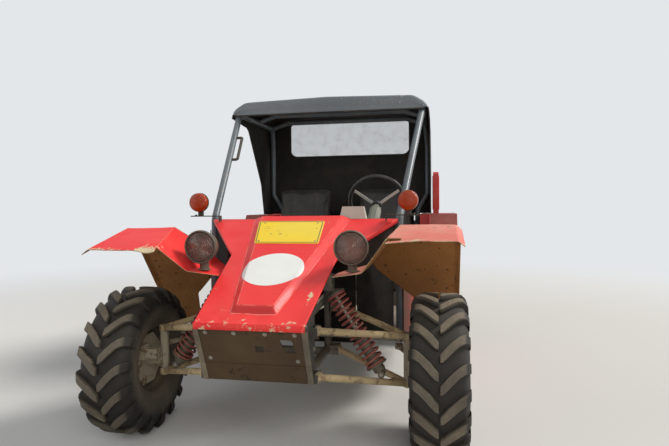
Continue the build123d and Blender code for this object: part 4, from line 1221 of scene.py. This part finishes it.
def fenderShape(side):
    lipZ, crownZ = fender[side]
    seed = 5.0 if side == "left" else 11.0
    corners = [(fender["lipY"], lipZ), (fender["crownY"], crownZ), (fender["fallY"], crownZ - fender["fall"])]
    corners = [Vector((0, y, z)) for y, z in corners + fender["back"]]
    line = spaced(filleted(corners, 0.012, 5), fender["rows"])
    outX, outZ = fender["shelfOut"]

    def innerX(z):
        return outX + (z - outZ) / fender["innerRise"] if z > outZ else along(fender["inside"], z)

    rows = []
    for i, place in enumerate(line):
        first = innerX(place.z)
        reach = place.y - fender["lipY"]
        row = []
        for j in range(fender["columns"] + 1):
            x = first + (fender["outer"] - first) * j / fender["columns"]
            y, z = place.y, place.z
            z -= fender["edgeDrop"] * max(x - fender["outer"] + fender["edge"], 0) / fender["edge"]
            ragged = wave(x * 22, seed, 0) * 0.006 + wave(x * 70, seed, 4) * 0.0025
            y += ragged * max(1 - reach / 0.02, 0) if i < 6 else 0
            z += 0.004 * wave(x * 5, y * 5, seed) + 0.0015 * wave(x * 15, y * 15, seed)
            if side == "left" and y < fender["tearY"]:
                z -= fender["tearDrop"] * max(1 - (x - first) / fender["tearLong"], 0)
            if side == "right":
                z -= 0.010 * math.exp(-((x - first - 0.03) ** 2 + reach ** 2) / 0.0016)
            row.append(at(x, y, z))
        rows.append(row)
    torn = next(i for i, place in enumerate(line) if place.y >= fender["tearY"]) - 1
    tornTo = int(fender["columns"] * 0.20)
    panel = Shape().rows(rows, skip=lambda i, j: side == "left" and i == torn and j < tornTo)

    # the inner wall, from the hood's edge over the shelf and up to the panel
    corners = (fender["shelfIn"], fender["shelfOut"], (innerX(crownZ), crownZ))
    section = spaced(filleted([Vector((x, 0, z)) for x, z in corners], 0.012, 5), 44)
    (backY, backZ), fallZ = fender["back"][0], crownZ - fender["fall"]
    hoodSpread = (hood["cowlY"] - hood["waistY"]) / (hood["cowlHalf"] - hood["waistHalf"])
    rows = []
    for place in section:
        front = along(fender["plan"], place.x)
        if place.z > lipZ:
            front = max(front, ramp(place.z, lipZ, crownZ, fender["lipY"], fender["crownY"]))
        if place.z > fallZ:
            back = ramp(place.z, fallZ, crownZ, fender["fallY"], fender["crownY"])
        else:
            back = ramp(place.z, backZ, fallZ, backY, fender["fallY"])
        hoodSide = hood["waistY"] + (place.x - hood["waistHalf"] - fender["hoodGap"]) * hoodSpread
        back = max(min(back, hoodSide, fender["wallBack"]), front)
        row = []
        for j in range(41):
            y = back + (front - back) * j / 40
            inner = min((y - front) / 0.03, (back - y) / 0.03, 1)
            bulge = 0.003 * wave(place.x * 6, y * 6, seed + 2) * max(inner, 0)
            row.append(at(place.x + bulge * 0.6, y, place.z - bulge))
        rows.append(row)
    return panel.take(Shape().rows(rows))


for side, red, turn in (("left", "chalkyRed", Matrix.Identity(4)), ("right", "fenderRed", mirrored)):
    piece(f"fender_front_{side}", fenderShape(side).moved(turn), [red, "mud", "tan"], "chassis",
          ["front_fenders"], solid=fender["sheet"], layers=(1, 2), weld=0.0004, smooth=40)
print("front fenders built")

# Canopy: one sheet, with its front valance, roof, side curtains and back
canopy = {
    "front": 1.030, "back": 1.880, "valanceZ": 1.612, "valanceWave": 0.004, "round": 0.020,
    "backRound": 0.028,
    "profile": [(0.626, 0.972), (0.626, 1.600), (0.612, 1.650), (0.535, 1.697), (0.0, 1.711)], "steps": 60,
    "door": [(0.900, 1.700), (1.200, 1.620), (1.560, 1.359)], "doorTop": 1.600, "rows": 64, "sag": 0.009,
    "window": (0.465, 0.135, 0.030), "windowZ": 1.555, "cloth": 0.0022, "bottomSteps": 44, "backSteps": 14,
    "welt": 0.0045,
}


def canopyProfile():
    # points over the roof from one side's hem to the other's, each with its outward direction
    half = filleted([Vector((x, 0, z)) for x, z in canopy["profile"]], 0.09, 6)
    half = spaced(half, canopy["steps"])
    whole = [Vector((-p.x, 0, p.z)) for p in half[:-1]] + half[::-1]
    result = []
    for i, place in enumerate(whole):
        ahead = (whole[min(i + 1, len(whole) - 1)] - whole[max(i - 1, 0)]).normalized()
        result.append((place, Vector((-ahead.z, 0, ahead.x))))
    return result


def clothOffset(x, y, z):
    # the roof dips between its bows, and the cloth is pulled into long shallow folds
    dip = 0.0
    for first, last in zip(cage["bows"], cage["bows"][1:]):
        if first < y < last and z > 1.66:
            dip -= canopy["sag"] * math.sin(math.pi * (y - first) / (last - first)) ** 2
    folds = 0.0028 * wave(x * 2.5, y * 11, z * 3) + 0.0018 * wave(x * 9, y * 4, z * 9 + 5)
    if z < 1.6:
        folds += 0.006 * wave(y * 7, z * 2.2, 8.0)
    return dip + folds


def canopyShape():
    profile = canopyProfile()
    roof = [i for i, (p, _) in enumerate(profile) if p.z >= canopy["valanceZ"]]
    first, last = roof[0], roof[-1]
    frontY, backY = canopy["front"] + canopy["round"], canopy["back"] - canopy["backRound"]
    doorHigh = canopy["door"][-1][0]

    def startY(z):
        if z >= canopy["doorTop"]:
            return frontY
        edge = along(canopy["door"], min(z, doorHigh))
        return edge + (frontY - edge) * max((z - doorHigh) / (canopy["doorTop"] - doorHigh), 0) ** 3

    def archRow(index, k):
        place, out = profile[index]
        start = startY(place.z)
        y = start + (backY - start) * k / canopy["rows"]
        fade = min((y - start) / 0.05, (backY - y) / 0.05, 1)
        return at(place.x, y, place.z) + out * clothOffset(place.x, y, place.z) * max(fade, 0)

    shape = Shape()
    # the valance's hem and face, the rounded front edge, and the roof
    crown = [profile[i] for i in roof]
    rows = []
    for k in range(6):
        row = []
        for place, out in crown:
            top = place - out * canopy["round"]
            z = canopy["valanceZ"] + max(top.z - canopy["valanceZ"], 0) * k / 6
            row.append(at(top.x, canopy["front"] + canopy["valanceWave"] * math.sin(k), z))
        rows.append(row)
    for k in range(6):
        a = math.pi / 2 * k / 6
        start = at(0, canopy["front"] + canopy["round"] * (1 - math.cos(a)), 0)
        rows.append([start + place - out * canopy["round"] * (1 - math.sin(a)) for place, out in crown])
    rows += [[archRow(i, k) for i in roof] for k in range(canopy["rows"] + 1)]
    shape.rows(rows)
    valance = rows[0]
    edges = []
    for span in (range(0, first + 1), range(last, len(profile))):
        side = [[archRow(i, k) for i in span] for k in range(canopy["rows"] + 1)]
        shape.rows(side)
        edges.append(side[0])
    # round the rear corners and in across the back to the window
    rows = []
    for k in range(7):
        a = math.pi / 2 * k / 6
        r = canopy["backRound"]
        rows.append([at(p.x, backY + r * math.sin(a), p.z) - n * r * (1 - math.cos(a)) for p, n in profile])
    shape.rows(rows)
    left, right = rows[-1][0], rows[-1][-1]
    steps = canopy["bottomSteps"]
    outer = rows[-1] + [right.lerp(left, i / steps) for i in range(1, steps)]
    wide, high, corner = canopy["window"]
    inner = []
    for p in outer:
        dx, dz = p.x, p.z - canopy["windowZ"]
        reach = (wide + high - corner) / (abs(dx) + abs(dz))
        t = min(wide / max(abs(dx), 1e-6), high / max(abs(dz), 1e-6), reach)
        inner.append(Vector((dx * t, p.y, canopy["windowZ"] + dz * t)))
    rows = []
    for k in range(canopy["backSteps"] + 1):
        t = k / canopy["backSteps"]
        row = [a.lerp(b, t) for a, b in zip(outer, inner)]
        for p in row:
            p.y -= math.sin(math.pi * t) * (0.004 + 0.006 * abs(wave(p.x * 6, 2.0, p.z * 3)))
        rows.append(row)
    shape.rows(rows, around=True)
    return shape, valance, edges, inner


canopySheet, valanceHem, doorEdges, windowEdge = canopyShape()
cloth = piece("canopy_sheet", canopySheet, ["vinyl", "vinylBack"], "chassis", ["canopy"],
              solid=canopy["cloth"], layers=(1, 1), weld=0.0005, smooth=60)
welts = Shape()
for edge in (valanceHem, *doorEdges, windowEdge + windowEdge[:1]):
    welts.take(tube(edge, canopy["welt"], 0, 10))
hems = piece("canopy_welts", welts, ["rubber"], "chassis", smooth=60)
print("canopy built")

# Seats: padding plumped by simulation, with sewn channels
seat = {
    "cushion": {"centre": (0.300, 1.335, 0.540), "size": (0.450, 0.430, 0.120), "tilt": 0, "floor": 0.4805},
    "back": {"centre": (0.300, 1.660, 0.870), "size": (0.450, 0.110, 0.640), "tilt": -10, "floor": 0.0},
    "inset": 0.013, "voxel": 0.008, "pressure": 4.0, "cap": 0.024, "frames": 20, "channels": (-0.085, 0.085),
    "groove": 0.007, "grooveWide": 0.009, "seam": 0.0035, "seamWide": 0.006,
}


def padBlock(size):
    # a block with rounded edges, whose sides pull in a little between its corners
    half = [s / 2 - seat["inset"] for s in size]
    made = bmesh.new()
    bmesh.ops.create_cube(made, size=2.0)
    bmesh.ops.subdivide_edges(made, edges=made.edges[:], cuts=9, use_grid_fill=True)
    for vert in made.verts:
        u = vert.co.copy()
        pull = 1 - 0.028 * (1 - u.x ** 2) * (abs(u.y) > 0.99) - 0.028 * (1 - u.y ** 2) * (abs(u.x) > 0.99)
        x, y, z = (abs(part) for part in u)
        corner = (x * y) ** 6 * 0.05 + (x * z) ** 6 * 0.03 + (y * z) ** 6 * 0.03
        vert.co = Vector((u.x * half[0], u.y * half[1], u.z * half[2])) * (pull - corner)
    shape = Shape().add([v.co for v in made.verts], [[v.index for v in f.verts] for f in made.faces])
    made.free()
    return shape


def evaluated(thing):
    return bpy.data.meshes.new_from_object(thing.evaluated_get(bpy.context.evaluated_depsgraph_get()))


def plumped(name, shape):
    # the block is remeshed evenly and blown up as a closed cloth; no point may move further than the cap
    working = bpy.data.objects.new(name + "_work", meshOf(name + "_work", shape))
    bpy.context.scene.collection.objects.link(working)
    fine = working.modifiers.new("Remesh", "REMESH")
    fine.mode, fine.voxel_size = "VOXEL", seat["voxel"]
    start = evaluated(working)
    working.modifiers.remove(fine)
    working.data = start
    before = [v.co.copy() for v in start.vertices]
    after = before
    swollen = working.modifiers.new("Cloth", "CLOTH")
    swollen.settings.use_pressure = True
    swollen.settings.uniform_pressure_force = seat["pressure"]
    swollen.settings.effector_weights.gravity = 0
    for step in range(1, seat["frames"] + 1):
        bpy.context.scene.frame_set(step)
    after = [v.co.copy() for v in evaluated(working).vertices]
    bpy.context.scene.frame_set(1)
    result = Shape()
    moved = []
    for a, b in zip(before, after):
        shift = b - a
        moved.append(a + shift * min(seat["cap"] / max(shift.length, 1e-9), 1))
    result.add(moved, [list(f.vertices) for f in start.polygons])
    bpy.data.objects.remove(working)
    return result


def padShape(kind):
    part = seat[kind]
    shape = plumped("seat_" + kind, padBlock(part["size"]))
    wide, deep, tall = (s / 2 for s in part["size"])
    top = 2 if kind == "cushion" else 1
    facing = 1 if kind == "cushion" else -1
    for p in shape.points:
        front = p[top] * facing > part["size"][top] * 0.2
        for channel in seat["channels"]:
            if front:
                p[top] -= facing * seat["groove"] * math.exp(-((p.x - channel) / seat["grooveWide"]) ** 2)
        # the seam round the side, where the cover's panels are sewn together
        side = math.exp(-(p[top] / seat["seamWide"]) ** 2)
        across = Vector((p.x / wide, p.y / deep, p.z / tall))
        across[top] = 0
        if across.length > 0.8:
            p -= across * seat["seam"] * side
    turn = Matrix.Translation(at(*part["centre"])) @ Matrix.Rotation(math.radians(part["tilt"]), 4, "X")
    shape = shape.moved(turn)
    for p in shape.points:
        p.z = max(p.z, part["floor"])
    return shape


for kind in ("cushion", "back"):
    left = padShape(kind)
    for side, shape in (("left", left), ("right", left.moved(mirrored))):
        pad = piece(f"seat_{kind}_{side}", shape, ["seat"], "chassis", [f"seat_{kind}s"],
                    subdivide=1, smooth=80)
print("seats built")

# Nose: the side plates' turned front edges, the front plate's lower part, and bolts through them
nose = {
    "edge": [(-0.4055, 0.5735), (-0.310, 0.354)], "x": (0.1994, 0.2215), "thick": 0.003, "steps": 24,
    "bolts": [
        (-0.372, 0.585), (-0.300, 0.628), (-0.345, 0.500), (-0.250, 0.640), (-0.322, 0.420), (-0.240, 0.470),
        (-0.235, 0.372),
    ],
    "boltX": 0.2034, "skirt": (0.431, 0.390, 0.357), "skirtHalf": 0.1975,
    "frontBolts": [
        (0.172, 0.560), (-0.172, 0.560), (0.172, 0.452), (-0.172, 0.452), (0.060, 0.560), (-0.060, 0.560),
    ],
}


def noseShape():
    (y0, z0), (y1, z1) = nose["edge"]
    run = Vector((0, y1 - y0, z1 - z0)).normalized()
    across = Vector((0, -run.z, run.y)) * -nose["thick"]
    low, high = (leftward * x for x in nose["x"])
    rows = []
    for i in range(nose["steps"] + 1):
        t = i / nose["steps"]
        place = at(0, y0 + (y1 - y0) * t + 0.0012 * wave(t * 9, 2.0, 0), z0 + (z1 - z0) * t)
        rows.append([place + low, place + high, place + high + across, place + low + across])
    shape = Shape().rows(rows, around=True, caps=True)
    for y, z in nose["bolts"]:
        shape.take(bolt(at(nose["boltX"], y, z), leftward, 0.0075, 0.006), 1)
    shape.both()

    def edgeY(z):
        return y0 + (z0 - z) * (y1 - y0) / (z0 - z1)

    half = leftward * nose["skirtHalf"]
    skirt = []
    for z in nose["skirt"]:
        place = at(0, edgeY(z), z)
        skirt.append([place - half, place + half, place + half + across * 0.8, place - half + across * 0.8])
    shape.rows(skirt, around=True, caps=True, mark=2)
    facing = Vector((0, run.z, -run.y))
    for x, z in nose["frontBolts"]:
        shape.take(bolt(at(x, edgeY(z) - 0.0012, z), facing, 0.0065, 0.004), 1)
    return shape


piece("nose_edges", noseShape(), ["cast", "steel", "noseMud"], "chassis", smooth=40)

# Rivets in rows on the left side: start, end, direction, count
rivets = {
    "radius": 0.0045, "high": 0.0022,
    "rows": [
        ((0.6235, 0.560, 0.400), (0.6235, 1.540, 0.400), leftward, 9),
        ((0.682, 1.960, 1.010), (0.682, 2.380, 1.010), leftward, 5),
        ((0.682, 1.960, 1.240), (0.682, 2.380, 1.240), leftward, 5),
        ((0.570, 1.860, 0.9665), (0.570, 2.300, 0.9665), upward, 5),
        ((0.795, 1.860, 0.9665), (0.795, 2.300, 0.9665), upward, 5),
    ],
}


def rivetShape():
    shape = Shape()
    radius, high = rivets["radius"], rivets["high"]
    dome = turned([(0, radius), (high * 0.6, radius * 0.8), (high, radius * 0.35), (high, 0)], 12, 0, False)
    for start, end, facing, count in rivets["rows"]:
        for i in range(count):
            shape.take(dome.moved(aimed(at(*start).lerp(at(*end), i / (count - 1)), facing)))
    return shape.both()


piece("rivets", rivetShape(), ["steel"], "chassis", smooth=50)

# Cargo boards: a pressed rib round each face
boards = {"y": (1.950, 2.395), "z": (1.000, 1.255), "x": (0.6825, 0.6395), "rib": 0.0045, "corner": 0.030}


def boardRibs():
    (y0, y1), (z0, z1) = boards["y"], boards["z"]
    shape = Shape()
    for x in boards["x"]:
        loop = [at(x, y, z) for y, z in ((y0, z0), (y1, z0), (y1, z1), (y0, z1))]
        middle = loop[0].lerp(loop[1], 0.5)
        # the last point is set back, so that the rib's two ends don't share a face
        line = [middle, loop[1], loop[2], loop[3], loop[0], middle - rearward * 0.0005]
        shape.take(tube(filleted(line, boards["corner"], 6), boards["rib"], 0, 10))
    return shape.both()


piece("board_ribs", boardRibs(), ["boxRed"], "chassis", smooth=60)
print("details built")

# Stage, lights and camera
stage = {
    "floor": "#dcdad5", "seen": "#e4e7ea", "light": "#dfe6ee", "strength": 0.36, "half": 30, "fades": (2.6, 8.0),
}


def makeFloor():
    # a plain pale floor, which runs into the backdrop's own colour far from the object
    graph = Graph(bpy.data.materials.new("floorPaint"))
    near = graph.node("BsdfDiffuse", None, {"Color": linear(stage["floor"]), "Roughness": 0.5})
    far = graph.node("Emission", None, {"Color": linear(stage["seen"])})
    reach = (graph.axis(0) ** 2 + graph.axis(1) ** 2) ** 0.5
    factor = reach.step(*stage["fades"]) * graph.seen()
    half = stage["half"]
    corners = [(-half, -half, 0), (half, -half, 0), (half, half, 0), (-half, half, 0)]
    floor = bpy.data.objects.new("floor", meshOf("floor", Shape().add(corners, [(0, 1, 2, 3)])))
    floor.data.materials.append(graph.finished(graph.node("MixShader", None, {0: factor, 1: near, 2: far})))
    bpy.context.scene.collection.objects.link(floor)


def makeWorld():
    # what the camera, metal and glass see is a plain pale backdrop; the light that it gives is dimmer
    graph = Graph(bpy.data.worlds.new("studio"))
    seen = graph.node("Background", None, {"Color": linear(stage["seen"])})
    light = graph.node("Background", None, {"Color": linear(stage["light"]), "Strength": stage["strength"]})
    mixed = graph.node("MixShader", None, {0: graph.seen(), 1: light, 2: seen})
    bpy.context.scene.world = graph.finished(mixed, "OutputWorld")


makeFloor()
makeWorld()
lights = {
    # place, target, size, power, colour
    "key": ((12.8, 4.6, 14.6), (0, -0.2, 0.6), 6.0, 3700, (1, 0.97, 0.93)),
    "front": ((2.6, -6.0, 3.0), (0, -0.6, 0.7), 4.0, 105, (1, 0.98, 0.95)),
    "fill": ((-5.0, -3.5, 2.8), (0, -0.4, 0.7), 4.5, 70, (0.92, 0.96, 1)),
}
for name, (place, target, size, power, colour) in lights.items():
    data = bpy.data.lights.new(name, "AREA")
    data.size = size
    data.energy = power
    data.color = colour
    light = bpy.data.objects.new(name, data)
    light.location = place
    light.rotation_euler = (Vector(target) - Vector(place)).to_track_quat("-Z", "Y").to_euler()
    bpy.context.scene.collection.objects.link(light)

view = {
    "place": (0.686, -2.273, 1.020), "yaw": -10.98, "pitch": -1.65, "roll": -0.51,
    "focalPixels": 540.3, "widthPixels": 669, "sensor": 36.0,
}


def makeCamera():
    yaw, pitch, roll = (math.radians(view[key]) for key in ("yaw", "pitch", "roll"))
    ahead = Vector((math.sin(yaw) * math.cos(pitch), math.cos(yaw) * math.cos(pitch), math.sin(pitch)))
    right = Vector((math.cos(yaw), -math.sin(yaw), 0))
    up = right.cross(ahead)
    rightTurned = right * math.cos(roll) + up * math.sin(roll)
    upTurned = up * math.cos(roll) - right * math.sin(roll)
    data = bpy.data.cameras.new("camera")
    data.sensor_width = view["sensor"]
    data.sensor_fit = "HORIZONTAL"
    data.lens = view["focalPixels"] * view["sensor"] / view["widthPixels"]
    camera = bpy.data.objects.new("camera", data)
    turn = Matrix((rightTurned, upTurned, -ahead)).transposed().to_4x4()
    camera.matrix_world = Matrix.Translation(at(*view["place"])) @ turn
    bpy.context.scene.collection.objects.link(camera)
    bpy.context.scene.camera = camera


makeCamera()
bpy.context.scene.view_settings.view_transform = "Standard"
print("stage set")
